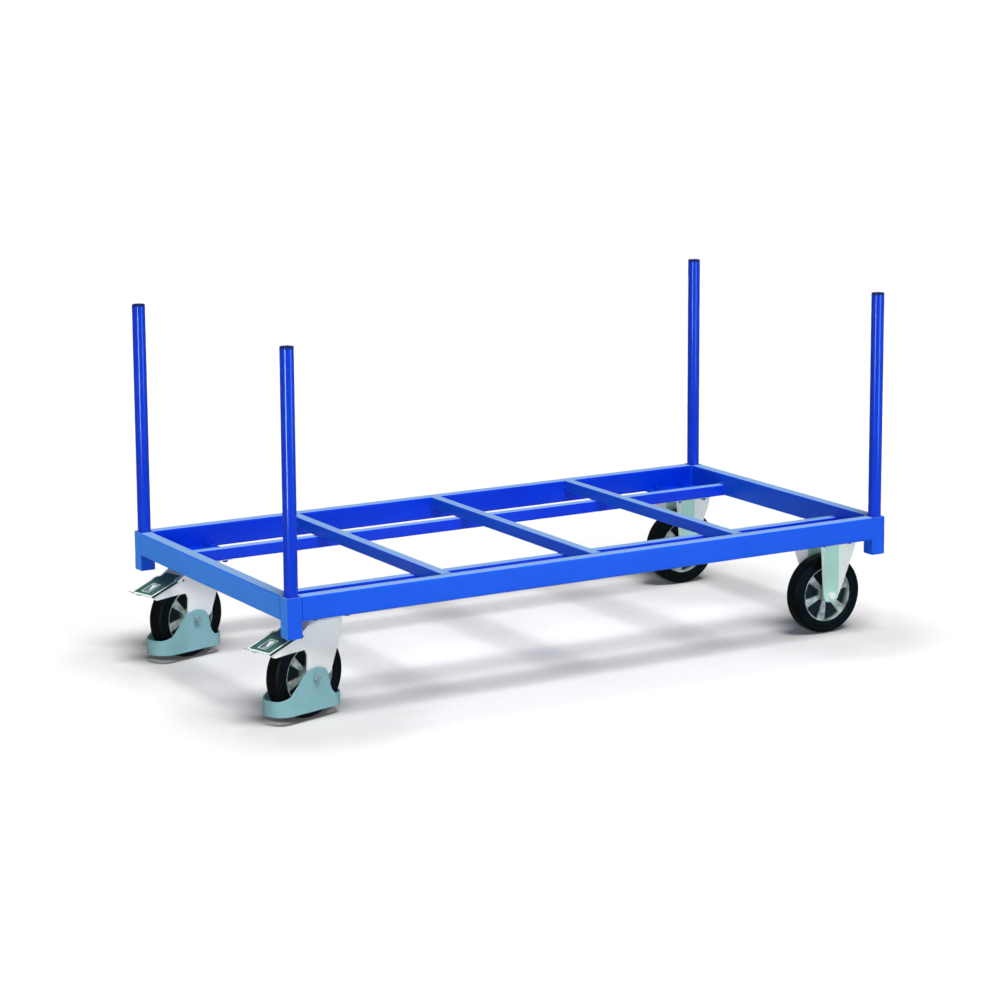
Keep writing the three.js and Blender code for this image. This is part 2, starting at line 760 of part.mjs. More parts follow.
function brakeShoe() {
  const half = brakeShoeWidth / 2;
  const low = [-brakeShoeStart - brakeShoeLength, -half, -brakeShoeDepth];
  const high = [-brakeShoeStart, half, pedalRise + joinOverlap];
  const clear = acrossFlats(wheelRadius, tyreSides) + brakeShoeGap;
  const wheelRoom = rodY(acrossFlats(clear, tyreSides), -tyreWidth, tyreWidth, tyreSides);
  wheelRoom.translate(pedalPivotBack, 0, wheelRadius - pedalPivotHeight);
  wheelRoom.rotateY(radians(pedalTilt));
  return cut(solidOf(block(low, high)), [wheelRoom]);
}

function pedalHole() {
  const middle = (-pedalLength - pedalNeckLength) / 2;
  const shape = outlineOf([
    [middle - pedalHoleLength / 2, 0],
    [middle + pedalHoleLength / 2, -pedalHoleWidth / 2],
    [middle + pedalHoleLength / 2, pedalHoleWidth / 2],
  ]);
  return flatSlab(shape, pedalRise - cutOverrun, pedalRise + pedalThickness + cutOverrun);
}

function brakePedal(side) {
  const body = joined([...pedalPlate(), pedalLip(), ...pedalEars()]).add(brakeShoe());
  const bore = holeY(pedalPinDiameter / 2 + seatGap, forkInner);
  const mesh = piece(`brake_pedal_${side.name}`, cut(body, [bore, pedalHole()]), metal(colors.pedalZinc));
  mesh.position.set(-pedalPivotBack, 0, pedalPivotHeight);
  mesh.rotation.y = -radians(pedalTilt);
  return mesh;
}

function swivelCaster(end, side) {
  const turning = new THREE.Group();
  turning.add(
    swivelFork(side),
    swivelBearing(side),
    footGuard(side),
    axleBolt(`axle_bolt_swivel_${side.name}`, guardOuter),
    axleNut(`axle_nut_swivel_${side.name}`, guardOuter),
    pedalPin(side),
    brakePedal(side),
    wheel(end, side),
  );
  turning.position.x = -swivelTrail;
  const swivel = new THREE.Group();
  swivel.add(turning);
  swivel.rotation.z = radians(swivelTurn);
  const group = new THREE.Group();
  group.add(swivelTopPlate(side), kingpin(side), swivel);
  group.position.set(casterMiddleX(end), side.sign * casterY, 0);
  return group;
}

// The whole cart

function cart() {
  const group = new THREE.Group();
  const [swivelEnd, fixedEnd] = ends;
  sides.forEach((side) => group.add(sideRail(side), lowerBar(side)));
  ends.forEach((end) => group.add(endRail(end)));
  for (let index = 0; index < crossCount; index += 1) {
    group.add(crossMember(index));
  }
  ends.forEach((end) => sides.forEach((side) => {
    group.add(cornerPost(end, side), mountPlate(end, side), stake(end, side), stakeCap(end, side));
  }));
  sides.forEach((side) => group.add(swivelCaster(swivelEnd, side), fixedCaster(fixedEnd, side)));
  return group;
}

const wholeCart = cart();
const overall = new THREE.Box3().setFromObject(wholeCart, true);
wholeCart.position.x = -(overall.min.x + overall.max.x) / 2;

export default wholeCart;
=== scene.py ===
import json
import math

import bpy
from mathutils import Euler, Matrix, Vector


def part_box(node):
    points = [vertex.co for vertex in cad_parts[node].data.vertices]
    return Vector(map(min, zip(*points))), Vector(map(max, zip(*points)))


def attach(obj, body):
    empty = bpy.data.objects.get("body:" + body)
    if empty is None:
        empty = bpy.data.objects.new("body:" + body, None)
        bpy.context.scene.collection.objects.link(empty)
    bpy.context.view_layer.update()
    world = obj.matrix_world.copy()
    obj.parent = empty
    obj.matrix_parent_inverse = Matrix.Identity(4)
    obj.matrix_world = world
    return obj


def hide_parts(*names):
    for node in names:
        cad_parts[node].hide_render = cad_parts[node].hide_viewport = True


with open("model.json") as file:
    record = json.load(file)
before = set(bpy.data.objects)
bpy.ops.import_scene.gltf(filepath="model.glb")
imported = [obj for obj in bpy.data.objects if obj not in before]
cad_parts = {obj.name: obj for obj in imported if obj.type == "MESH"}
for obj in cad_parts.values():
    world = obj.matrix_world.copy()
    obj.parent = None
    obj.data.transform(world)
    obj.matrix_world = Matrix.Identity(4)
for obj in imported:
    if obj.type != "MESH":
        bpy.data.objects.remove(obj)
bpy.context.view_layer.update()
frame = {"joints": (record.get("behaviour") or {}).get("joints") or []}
joints = {joint["name"]: joint for joint in frame["joints"]}
mm = 0.001
spare = 1 * mm  # how far a cutter or a joined piece reaches past a face
play = 0.3 * mm  # clearance round a shaft
sides = ("near", "far")
ends = ("swivel", "fixed")
print("cart frame loaded")


# Working helpers

def deselectAll():
    if bpy.context.object and bpy.context.object.mode != "OBJECT":
        bpy.ops.object.mode_set(mode="OBJECT")
    bpy.ops.object.select_all(action="DESELECT")


def makeActive(piece):
    deselectAll()
    piece.select_set(True)
    bpy.context.view_layer.objects.active = piece


def settle(piece):  # place, turn and size go into the mesh
    makeActive(piece)
    bpy.ops.object.transform_apply(location=True, rotation=True, scale=True)


def newPiece(name):  # the primitive just added
    piece = bpy.context.object
    piece.name = name
    piece.data.name = name
    settle(piece)
    return piece


def enterEdit(piece, mode, chosen):
    makeActive(piece)
    mesh = piece.data
    for parts in (mesh.vertices, mesh.edges, mesh.polygons):
        parts.foreach_set("select", [False] * len(parts))
    for part in chosen:
        part.select = True
    bpy.context.tool_settings.mesh_select_mode = [mode == kind for kind in ("point", "edge", "face")]
    bpy.ops.object.mode_set(mode="EDIT")


def leaveEdit():
    bpy.ops.object.mode_set(mode="OBJECT")


def pickFaces(piece, test):  # test gets the face's middle and normal
    enterEdit(piece, "face", [face for face in piece.data.polygons if test(face.center, face.normal)])


def pickEdges(piece, test):  # test gets the edge's two ends
    points = piece.data.vertices
    chosen = [edge for edge in piece.data.edges
              if test(points[edge.vertices[0]].co, points[edge.vertices[1]].co)]
    enterEdit(piece, "edge", chosen)


def pickAll(piece):
    enterEdit(piece, "face", piece.data.polygons)
    bpy.ops.mesh.select_all(action="SELECT")


def runsAlong(axis):  # edges that run along X, Y or Z
    others = [index for index in range(3) if index != axis]
    return lambda a, b: all(abs(a[index] - b[index]) < 1e-6 for index in others)


def facing(axis):  # faces square to X, Y or Z
    return lambda middle, normal: abs(normal[axis]) > 0.99


def tidyMesh(piece):
    pickAll(piece)
    bpy.ops.mesh.remove_doubles(threshold=0.00002)
    bpy.ops.mesh.normals_make_consistent(inside=False)
    leaveEdit()


def addBlock(name, low, high):
    low, high = Vector(low), Vector(high)
    deselectAll()
    bpy.ops.mesh.primitive_cube_add(size=1, location=(low + high) / 2)
    bpy.context.object.scale = high - low
    return newPiece(name)


def addRod(name, radius, low, high, axis="Y", middle=(0, 0), sideCount=48):
    deselectAll()
    reach = (low + high) / 2
    if axis == "Y":
        place, turn = (middle[0], reach, middle[1]), (math.pi / 2, 0, 0)
    else:
        place, turn = (middle[0], middle[1], reach), (0, 0, 0)
    bpy.ops.mesh.primitive_cylinder_add(
        vertices=sideCount, radius=radius, depth=high - low, location=place, rotation=turn)
    return newPiece(name)


def roundEdges(piece, test, radius, segments=4):
    pickEdges(piece, test)
    bpy.ops.mesh.bevel(offset=radius, segments=segments, affect="EDGES", profile=0.5)
    leaveEdit()


def useModifier(piece, kind, **values):
    makeActive(piece)
    modifier = piece.modifiers.new(kind.lower(), kind)
    for key, value in values.items():
        setattr(modifier, key, value)
    bpy.ops.object.modifier_apply(modifier=modifier.name)


def soften(piece, width, segments=2, angle=40):  # breaks the sharp edges
    useModifier(piece, "BEVEL", width=width, segments=segments, limit_method="ANGLE",
                angle_limit=math.radians(angle), use_clamp_overlap=True)


def smooth(piece, angle=35):
    makeActive(piece)
    bpy.ops.object.shade_smooth_by_angle(angle=math.radians(angle))
    useModifier(piece, "WEIGHTED_NORMAL", keep_sharp=True)


def combine(piece, other, operation):  # other is used up
    useModifier(piece, "BOOLEAN", object=other, operation=operation, solver="EXACT")
    bpy.data.objects.remove(other)
    return piece


def joinPieces(name, pieces):
    deselectAll()
    for piece in pieces:
        piece.select_set(True)
    bpy.context.view_layer.objects.active = pieces[0]
    bpy.ops.object.join()
    pieces[0].name = name
    pieces[0].data.name = name
    return pieces[0]


def inMetres(points):
    return [tuple(value * mm for value in point) for point in points]


def roundCorners(points, radius, steps=5):  # a closed outline with its corners rounded
    rounded = []
    for index, point in enumerate(points):
        corner = Vector(point[:2])
        before = Vector(points[index - 1][:2]) - corner
        after = Vector(points[(index + 1) % len(points)][:2]) - corner
        size = point[2] if len(point) > 2 else radius
        turn = before.angle(after)
        reach = size / math.tan(turn / 2) if size > 0 and turn < math.pi - 0.03 else 0
        reach = min(reach, before.length * 0.48, after.length * 0.48)
        if reach <= 0:
            rounded.append(corner)
            continue
        start, finish = corner + before.normalized() * reach, corner + after.normalized() * reach
        for step in range(steps + 1):
            share = step / steps
            bend = start * (1 - share) ** 2 + corner * 2 * share * (1 - share) + finish * share ** 2
            rounded.append(bend)
    return rounded


def addOutline(name, points, depth, start, axis="Y"):  # a slab with the outline in XZ or in XY
    deselectAll()
    bpy.ops.mesh.primitive_circle_add(vertices=len(points), fill_type="NGON")
    piece = newPiece(name)
    for vertex, (across, up) in zip(piece.data.vertices, points):
        vertex.co = (across, start, up) if axis == "Y" else (across, up, start)
    pickAll(piece)
    move = (0, depth, 0) if axis == "Y" else (0, 0, depth)
    bpy.ops.mesh.extrude_region_move(TRANSFORM_OT_translate={"value": move})
    bpy.ops.mesh.select_all(action="SELECT")
    bpy.ops.mesh.normals_make_consistent(inside=False)
    leaveEdit()
    return piece


def spinProfile(name, profile, axis, steps):  # profile of (radius, place along the axis)
    deselectAll()
    bpy.ops.mesh.primitive_circle_add(vertices=len(profile), fill_type="NOTHING")
    piece = newPiece(name)
    for vertex, (radius, along) in zip(piece.data.vertices, profile):
        vertex.co = (radius, along, 0) if axis == "Y" else (radius, 0, along)
    enterEdit(piece, "edge", piece.data.edges)
    bpy.ops.mesh.select_all(action="SELECT")
    direction = (0, 1, 0) if axis == "Y" else (0, 0, 1)
    bpy.ops.mesh.spin(steps=steps, angle=2 * math.pi, center=(0, 0, 0), axis=direction)
    leaveEdit()
    tidyMesh(piece)
    return piece


def movePiece(piece, move):
    piece.location = move
    settle(piece)
    return piece


def copyPiece(source, name, place=(0, 0, 0), turn=0):
    piece = source.copy()
    piece.data = source.data.copy()
    bpy.context.scene.collection.objects.link(piece)
    piece.name = name
    piece.data.name = name
    piece.location = place
    piece.rotation_euler = (0, 0, turn)
    settle(piece)
    return piece


def dress(piece, material, body, slot, *nodes):
    piece.data.materials.clear()
    piece.data.materials.append(material)
    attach(piece, body)
    if nodes:
        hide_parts(*nodes)


# Finishes

def finish(name, values):
    material = bpy.data.materials.new(name)
    material.use_nodes = True
    nodes, links = material.node_tree.nodes, material.node_tree.links
    shader = nodes["Principled BSDF"]
    shader.inputs["Metallic"].default_value = values["metallic"]
    shader.inputs["Specular IOR Level"].default_value = values.get("specular", 0.5)
    place = nodes.new("ShaderNodeTexCoord")

    patches = nodes.new("ShaderNodeTexNoise")  # broad colour drift
    patches.inputs["Scale"].default_value = values["patchScale"]
    patches.inputs["Detail"].default_value = 4
    links.new(place.outputs["Object"], patches.inputs["Vector"])
    spread = nodes.new("ShaderNodeMapRange")
    spread.inputs["From Min"].default_value = 0.3
    spread.inputs["From Max"].default_value = 0.7
    links.new(patches.outputs["Fac"], spread.inputs["Value"])
    tint = nodes.new("ShaderNodeMix")
    tint.data_type = "RGBA"
    tint.inputs["A"].default_value = (*values["color"], 1)
    tint.inputs["B"].default_value = (*values["patchColor"], 1)
    links.new(spread.outputs["Result"], tint.inputs["Factor"])
    color = tint.outputs["Result"]

    def blend(source, begin, full, other):  # another colour as the source rises
        nonlocal color
        rise = nodes.new("ShaderNodeMapRange")
        rise.inputs["From Min"].default_value = begin
        rise.inputs["From Max"].default_value = full
        links.new(source, rise.inputs["Value"])
        mix = nodes.new("ShaderNodeMix")
        mix.data_type = "RGBA"
        mix.inputs["B"].default_value = (*other, 1)
        links.new(rise.outputs["Result"], mix.inputs["Factor"])
        links.new(color, mix.inputs["A"])
        color = mix.outputs["Result"]

    for axis, begin, full, other in values.get("facing", ()):  # painted light and shade: faces that look one way get another colour
        parts = nodes.new("ShaderNodeSeparateXYZ")
        links.new(place.outputs["Normal"], parts.inputs["Vector"])
        size = nodes.new("ShaderNodeMath")
        size.operation = "ABSOLUTE"
        links.new(parts.outputs[axis], size.inputs[0])
        blend(size.outputs[0], begin, full, other)
    if "paintedRecessShade" in values:  # painted shade: darker towards the wheel's middle plane, in the rim's recesses
        begin, full, other = values["paintedRecessShade"]
        depth = nodes.new("ShaderNodeUVMap")
        depth.uv_map = "depth"
        parts = nodes.new("ShaderNodeSeparateXYZ")
        links.new(depth.outputs["UV"], parts.inputs["Vector"])
        blend(parts.outputs["Y"], begin, full, other)
    links.new(color, shader.inputs["Base Color"])

    gloss = nodes.new("ShaderNodeMapRange")  # roughness drifts with the patches
    gloss.inputs["To Min"].default_value = values["roughness"][0]
    gloss.inputs["To Max"].default_value = values["roughness"][1]
    links.new(patches.outputs["Fac"], gloss.inputs["Value"])
    links.new(gloss.outputs["Result"], shader.inputs["Roughness"])

    grain = nodes.new("ShaderNodeTexNoise")  # fine surface grain
    grain.inputs["Scale"].default_value = values["grainScale"]
    grain.inputs["Detail"].default_value = 2
    links.new(place.outputs["Object"], grain.inputs["Vector"])
    bump = nodes.new("ShaderNodeBump")
    bump.inputs["Strength"].default_value = values["bump"]
    bump.inputs["Distance"].default_value = values["bumpHeight"]
    links.new(grain.outputs["Fac"], bump.inputs["Height"])
    links.new(bump.outputs["Normal"], shader.inputs["Normal"])
    return material


paintValues = {  # powder coat with a slight orange peel
    "color": (0.002, 0.080, 0.69), "patchColor": (0.003, 0.088, 0.73), "patchScale": 5,
    "metallic": 0, "specular": 0.3, "roughness": (0.26, 0.32),
    "grainScale": 260, "bump": 0.02, "bumpHeight": 0.0003,
    # painted sheen: faces that look up are paler
    "facing": [("Z", 0.8, 0.98, (0.22, 0.39, 0.70))],
}
framePaint = finish("framePaint", paintValues)
# copy with painted light: faces that look along X are paler
endPaintedLight = finish("endPaintedLight", {
    **paintValues, "facing": paintValues["facing"] + [("X", 0.8, 0.98, (0.04, 0.27, 0.96))],
})
# copy with painted shade: darker all over, with faces that look along X painted paler
innerPaintedShadeAndLight = finish("innerPaintedShadeAndLight", {
    **paintValues, "color": (0.0, 0.030, 0.64), "patchColor": (0.001, 0.042, 0.70),
    "facing": paintValues["facing"] + [("X", 0.8, 0.98, (0.005, 0.090, 0.74))],
})
# copy with darker painted shade, for what sits under the deck
underDeckPaintedShade = finish("underDeckPaintedShade", {
    **paintValues, "color": (0.0, 0.028, 0.46), "patchColor": (0.001, 0.038, 0.52), "facing": [],
})
stakePaint = finish("stakePaint", {
    "color": (0.0, 0.034, 0.56), "patchColor": (0.001, 0.042, 0.62), "patchScale": 9,
    "metallic": 0, "roughness": (0.11, 0.15), "grainScale": 260, "bump": 0.03, "bumpHeight": 0.0004,
})
capPlastic = finish("capPlastic", {
    "color": (0.002, 0.014, 0.100), "patchColor": (0.003, 0.020, 0.125), "patchScale": 60,
    "metallic": 0, "specular": 0.2, "roughness": (0.35, 0.55),
    "grainScale": 900, "bump": 0.1, "bumpHeight": 0.0003,
})
brightZinc = finish("brightZinc", {
    "color": (0.90, 0.94, 0.93), "patchColor": (0.94, 0.96, 0.95), "patchScale": 30,
    "metallic": 0.1, "roughness": (0.28, 0.42), "grainScale": 500, "bump": 0.05, "bumpHeight": 0.0003,
})
legZinc = finish("legZinc", {
    "color": (0.88, 0.93, 0.91), "patchColor": (0.93, 0.96, 0.94), "patchScale": 25,
    "metallic": 0.1, "roughness": (0.28, 0.42), "grainScale": 500, "bump": 0.05, "bumpHeight": 0.0003,
    # painted reflection: faces that look along Y are mint
    "facing": [("Y", 0.88, 0.97, (0.50, 0.84, 0.72))],
})
boltZinc = finish("boltZinc", {
    "color": (0.34, 0.50, 0.53), "patchColor": (0.42, 0.58, 0.60), "patchScale": 60,
    "metallic": 0.5, "roughness": (0.2, 0.34), "grainScale": 500, "bump": 0.05, "bumpHeight": 0.0003,
})
guardPaint = finish("guardPaint", {
    "color": (0.20, 0.41, 0.45), "patchColor": (0.23, 0.45, 0.49), "patchScale": 22,
    "metallic": 0, "specular": 0.4, "roughness": (0.3, 0.42),
    "grainScale": 400, "bump": 0.05, "bumpHeight": 0.0004,
})
pedalZinc = finish("pedalZinc", {
    "color": (0.70, 0.80, 0.76), "patchColor": (0.82, 0.89, 0.86), "patchScale": 45,
    "metallic": 0.15, "roughness": (0.3, 0.45), "grainScale": 500, "bump": 0.06, "bumpHeight": 0.0003,
    # painted shade: faces that look along Y, the flanges' outer sides, are almost black
    "facing": [("Y", 0.84, 0.93, (0.02, 0.04, 0.035))],
})
panelZinc = finish("panelZinc", {
    "color": (0.030, 0.085, 0.065), "patchColor": (0.060, 0.150, 0.120), "patchScale": 60,
    "metallic": 0.1, "specular": 0.4, "roughness": (0.3, 0.5),
    "grainScale": 500, "bump": 0.06, "bumpHeight": 0.0003,
})
rimMetal = finish("rimMetal", {
    # dark and pale patches are painted reflections
    "color": (0.20, 0.30, 0.26), "patchColor": (0.84, 0.94, 0.90), "patchScale": 55,
    "metallic": 0.3, "roughness": (0.3, 0.48), "grainScale": 400, "bump": 0.1, "bumpHeight": 0.0004,
    # painted shade in the recesses, darker towards the wheel's middle plane
    "paintedRecessShade": (0.32, 0.08, (0.010, 0.022, 0.022)),
})
tyreRubber = finish("tyreRubber", {
    "color": (0.001, 0.0025, 0.0018), "patchColor": (0.002, 0.0050, 0.0040), "patchScale": 35,
    "metallic": 0, "specular": 0.15, "roughness": (0.38, 0.55),
    "grainScale": 500, "bump": 0.08, "bumpHeight": 0.0003,
})
print("finishes made")


# Frame tubes

tubeValues = {"wall": 3 * mm, "corner": 4 * mm, "slimWall": 2.5 * mm, "slimCorner": 3 * mm}


def squareTube(name, wall, corner, paint):
    low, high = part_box(name)
    size = list(high - low)
    axis = size.index(max(size))
    piece = addBlock(name + "_tube", low, high)
    roundEdges(piece, runsAlong(axis), corner, 6)
    pickFaces(piece, facing(axis))
    bpy.ops.mesh.inset(thickness=wall)
    bpy.ops.mesh.bridge_edge_loops()
    leaveEdit()
    tidyMesh(piece)
    smooth(piece)
    dress(piece, paint, "frame", "frame_paint", name)


# copies with painted light and shade: the swivel end paler, the far rail and the fixed end darker
railPaints = {
    "side_rail_near": framePaint, "side_rail_far": innerPaintedShadeAndLight,
    "end_rail_swivel": endPaintedLight, "end_rail_fixed": innerPaintedShadeAndLight,
}
for node, paint in railPaints.items():
    squareTube(node, tubeValues["wall"], tubeValues["corner"], paint)
# cross members and lower bars take the copy with painted shade
for node in ("cross_member_1", "cross_member_2", "cross_member_3", "lower_bar_near", "lower_bar_far"):
    squareTube(node, tubeValues["slimWall"], tubeValues["slimCorner"], innerPaintedShadeAndLight)
print("rails, cross members and lower bars made")


# Corner posts

postValues = {"wall": 2.4 * mm, "corner": 3 * mm, "floor": 4 * mm, "edge": 0.5 * mm}


def cornerPost():
    low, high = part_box("post_swivel_near")
    piece = addBlock("post", low, high)
    roundEdges(piece, runsAlong(2), postValues["corner"], 5)
    pickFaces(piece, lambda middle, normal: normal.z > 0.99)
    bpy.ops.mesh.inset(thickness=postValues["wall"])
    depth = high.z - low.z - postValues["floor"]
    bpy.ops.mesh.extrude_region_move(TRANSFORM_OT_translate={"value": (0, 0, -depth)})
    leaveEdit()
    tidyMesh(piece)
    soften(piece, postValues["edge"])
    smooth(piece)
    return piece


post = cornerPost()
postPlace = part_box("post_swivel_near")[0]
for end in ends:
    for side in sides:
        node = f"post_{end}_{side}"
        corner = copyPiece(post, node + "_tube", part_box(node)[0] - postPlace)
        # the swivel end's posts take the copy with painted light
        dress(corner, endPaintedLight if end == "swivel" else framePaint, "frame", "frame_paint", node)
bpy.data.objects.remove(post)
print("corner posts made")


# Stakes and their caps

stakeValues = {"wall": 2.5 * mm, "edge": 0.5 * mm, "sides": 64, "capRound": 1 * mm, "plugGap": 0.3 * mm}


def stakeTube(node):
    low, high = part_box(node)
    middle = (low + high) / 2
    radius = (high.x - low.x) / 2
    piece = addRod(node + "_tube", radius, low.z, high.z, "Z", middle.xy, stakeValues["sides"])
    pickFaces(piece, facing(2))
    bpy.ops.mesh.inset(thickness=stakeValues["wall"])
    bpy.ops.mesh.bridge_edge_loops()
    leaveEdit()
    tidyMesh(piece)
    soften(piece, stakeValues["edge"])
    smooth(piece)
    return piece


def stakeCap(node, stakeTop):
    low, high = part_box(node)
    middle = (low + high) / 2
    radius = (high.x - low.x) / 2
    piece = addRod(node + "_disc", radius, stakeTop, high.z, "Z", middle.xy, stakeValues["sides"])
    roundEdges(piece, lambda a, b: min(a.z, b.z) > high.z - 1e-6, stakeValues["capRound"], 4)
    plugRadius = radius - stakeValues["wall"] - stakeValues["plugGap"]
    pickFaces(piece, lambda centre, normal: normal.z < -0.99)
    bpy.ops.mesh.inset(thickness=radius - plugRadius)
    bpy.ops.mesh.extrude_region_move(TRANSFORM_OT_translate={"value": (0, 0, low.z - stakeTop)})
    leaveEdit()
    tidyMesh(piece)
    smooth(piece)
    return piece


for end in ends:
    for side in sides:
        spot = f"{end}_{side}"
        dress(stakeTube("stake_" + spot), stakePaint, "stake_" + spot, "stake_paint", "stake_" + spot)
        cap = stakeCap("stake_cap_" + spot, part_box("stake_" + spot)[1].z)
        dress(cap, capPlastic, "stake_" + spot, "cap_plastic", "stake_cap_" + spot)
print("stakes made")


# Wheels, made round an axle along Y at the origin

wheelValues = {
    "radius": 100 * mm, "rimRadius": 69.5 * mm, "bed": 19 * mm, "steps": 72,
    "hubRadius": 18 * mm, "hubHalf": 31.5 * mm, "bore": 6.3 * mm, "bandInner": 66.5 * mm,
    "webHalf": 3 * mm, "spokeHalf": 13 * mm, "spokeCount": 6, "spokeRoot": 5 * mm, "spokeTip": 11.5 * mm,
    "spokeEdge": 1.6 * mm, "firstSpoke": 78, "depthSpan": 40 * mm,
    "tyre": [  # radius and half width in mm: bead, side with its moulded ring, shoulder, tread
        (69.8, 18.8), (71, 20.6), (73, 21.6), (78, 22), (83.5, 22), (84.5, 21), (86, 21), (87, 21.8),
        (91.5, 22), (94.5, 21.2), (97, 19.2), (98.8, 16), (99.6, 13), (100, 9),
    ],
}


def makeTyre():
    v = wheelValues
    profile = [(radius * mm, -along * mm) for radius, along in v["tyre"]]
    profile += [(radius * mm, along * mm) for radius, along in reversed(v["tyre"])]
    piece = spinProfile("tyre", profile, "Y", v["steps"])
    smooth(piece, 50)
    return piece


def makeRim():
    v = wheelValues
    halfProfile = [
        (v["bore"], v["hubHalf"]), (v["hubRadius"] - 1.5 * mm, v["hubHalf"]),
        (v["hubRadius"], v["hubHalf"] - 1.5 * mm), (v["hubRadius"] + 2 * mm, v["webHalf"] + 2 * mm),
        (v["hubRadius"] + 4 * mm, v["webHalf"]), (v["bandInner"] - 3 * mm, v["webHalf"]),
        (v["bandInner"] - 1 * mm, v["webHalf"] + 2 * mm), (v["bandInner"], v["bed"] - 1.5 * mm),
        (v["bandInner"] + 1 * mm, v["bed"]), (v["rimRadius"] - 1 * mm, v["bed"]),
        (v["rimRadius"], v["bed"] - 1 * mm),
    ]
    profile = [(radius, -along) for radius, along in halfProfile]
    profile += [(radius, along) for radius, along in reversed(halfProfile)]
    piece = spinProfile("rim", profile, "Y", v["steps"])
    spokes = []
    for index in range(v["spokeCount"]):
        root, tip = v["spokeRoot"], v["spokeTip"]
        near, far = v["hubRadius"] - spare, v["bandInner"] + 2 * spare
        outline = [(near, -root), (far, -tip), (far, tip), (near, root)]
        angle = 2 * math.pi * index / v["spokeCount"] + math.radians(v["firstSpoke"])
        points = [(x * math.cos(angle) - z * math.sin(angle), x * math.sin(angle) + z * math.cos(angle))
                  for x, z in outline]
        spoke = addOutline("spoke", points, 2 * v["spokeHalf"], -v["spokeHalf"])
        soften(spoke, v["spokeEdge"], 3)
        spokes.append(spoke)
    combine(piece, joinPieces("spokes", spokes), "UNION")
    smooth(piece, 30)
    markDepth(piece)
    return piece


def markDepth(piece):  # own UVs: distance from the axle and from the wheel's middle plane, the mask of the rim's painted shade
    v = wheelValues
    for layer in list(piece.data.uv_layers):
        piece.data.uv_layers.remove(layer)
    layer = piece.data.uv_layers.new(name="depth")
    for loop in piece.data.loops:
        point = piece.data.vertices[loop.vertex_index].co
        layer.data[loop.index].uv = (
            math.hypot(point.x, point.z) / v["radius"], abs(point.y) / v["depthSpan"])


tyre, rim = makeTyre(), makeRim()
print("wheel made")


# Axle bolts and nuts

axleValues = {"radius": 6 * mm, "across": 17 * mm, "head": 7 * mm, "nut": 10 * mm, "tip": 3 * mm,
              "washerRadius": 10.5 * mm, "washer": 1.6 * mm, "chamfer": 1.1 * mm,
              "edge": 0.35 * mm, "tipEdge": 0.8 * mm, "sink": 0.2 * mm,
              "guardSeat": 41.8 * mm, "forkSeat": 36.3 * mm}


def hexPiece(name, across, low, high, outward, axis="Y", middle=(0, 0)):  # chamfered at its outer face
    piece = addRod(name, across / math.sqrt(3), low, high, axis, middle, 6)
    outer = high if outward > 0 else low
    along = 1 if axis == "Y" else 2
    roundEdges(piece, lambda a, b: abs(a[along] - outer) < 1e-6 and abs(b[along] - outer) < 1e-6,
               axleValues["chamfer"], 2)
    return piece


def axleBolt(name, seat):
    v = axleValues
    head = hexPiece(name, v["across"], -seat - v["head"], -seat - v["washer"], -1)
    washer = addRod("washer", v["washerRadius"], -seat - v["washer"] - v["sink"], -seat)
    shank = addRod("shank", v["radius"], -seat - spare, seat + v["nut"] + v["tip"], sideCount=32)
    roundEdges(shank, lambda a, b: min(a.y, b.y) > seat + v["nut"], v["tipEdge"], 2)
    combine(head, washer, "UNION")
    combine(head, shank, "UNION")
    soften(head, v["edge"])
    smooth(head)
    return head


def axleNut(name, seat):
    v = axleValues
    nut = hexPiece(name, v["across"], seat + v["washer"], seat + v["nut"], 1)
    washer = addRod("washer", v["washerRadius"], seat, seat + v["washer"] + v["sink"])
    combine(nut, washer, "UNION")
    bore = addRod("bore", v["radius"] + play, seat - spare, seat + v["nut"] + spare, sideCount=32)
    combine(nut, bore, "DIFFERENCE")
    soften(nut, v["edge"])
    smooth(nut)
    return nut


swivelBolt, swivelNut = (make("axle", axleValues["guardSeat"]) for make in (axleBolt, axleNut))
fixedBolt, fixedNut = (make("axle", axleValues["forkSeat"]) for make in (axleBolt, axleNut))
print("axles made")


# Top plates, with the middle of the plate over the origin and the floor at zero

plateValues = {
    "low": 238 * mm, "high": 244 * mm, "halfX": 55 * mm, "halfY": 67.5 * mm, "corner": 8 * mm,
    "edge": 0.8 * mm, "boltX": 40 * mm, "boltY": 52.5 * mm, "hole": 4.5 * mm, "pinHole": 6.3 * mm,
}


def boltPlaces():
    return [(x * plateValues["boltX"], y * plateValues["boltY"]) for x in (-1, 1) for y in (-1, 1)]


def drill(piece, radius, low, high, axis, middle):
    combine(piece, addRod("drill", radius, low, high, axis, middle, 32), "DIFFERENCE")


def drillPlate(piece, radius, middle):
    drill(piece, radius, plateValues["low"] - spare, plateValues["high"] + spare, "Z", middle)


def topPlate(name):
    v = plateValues
    piece = addBlock(name, (-v["halfX"], -v["halfY"], v["low"]), (v["halfX"], v["halfY"], v["high"]))
    roundEdges(piece, runsAlong(2), v["corner"], 6)
    soften(piece, v["edge"], 2)
    for spot in boltPlaces():
        drillPlate(piece, v["hole"], spot)
    return piece


# Fixed fork, with the axle over the origin and the floor at zero

fixedForkValues = {
    "inner": 32 * mm, "outer": 36 * mm, "legHalf": 22 * mm, "axle": 100 * mm, "flange": 40 * mm,
    "bore": 6.3 * mm, "concave": 3.5 * mm, "convex": 7 * mm, "legTop": 239 * mm, "legLow": 80 * mm,
    "cutFrom": 25 * mm, "cutTo": 75 * mm, "edge": 0.5 * mm,
    "outline": [(53.6, 240, 0), (24, 106, 12), (19, 90, 9), (10, 83.2, 8)],
}


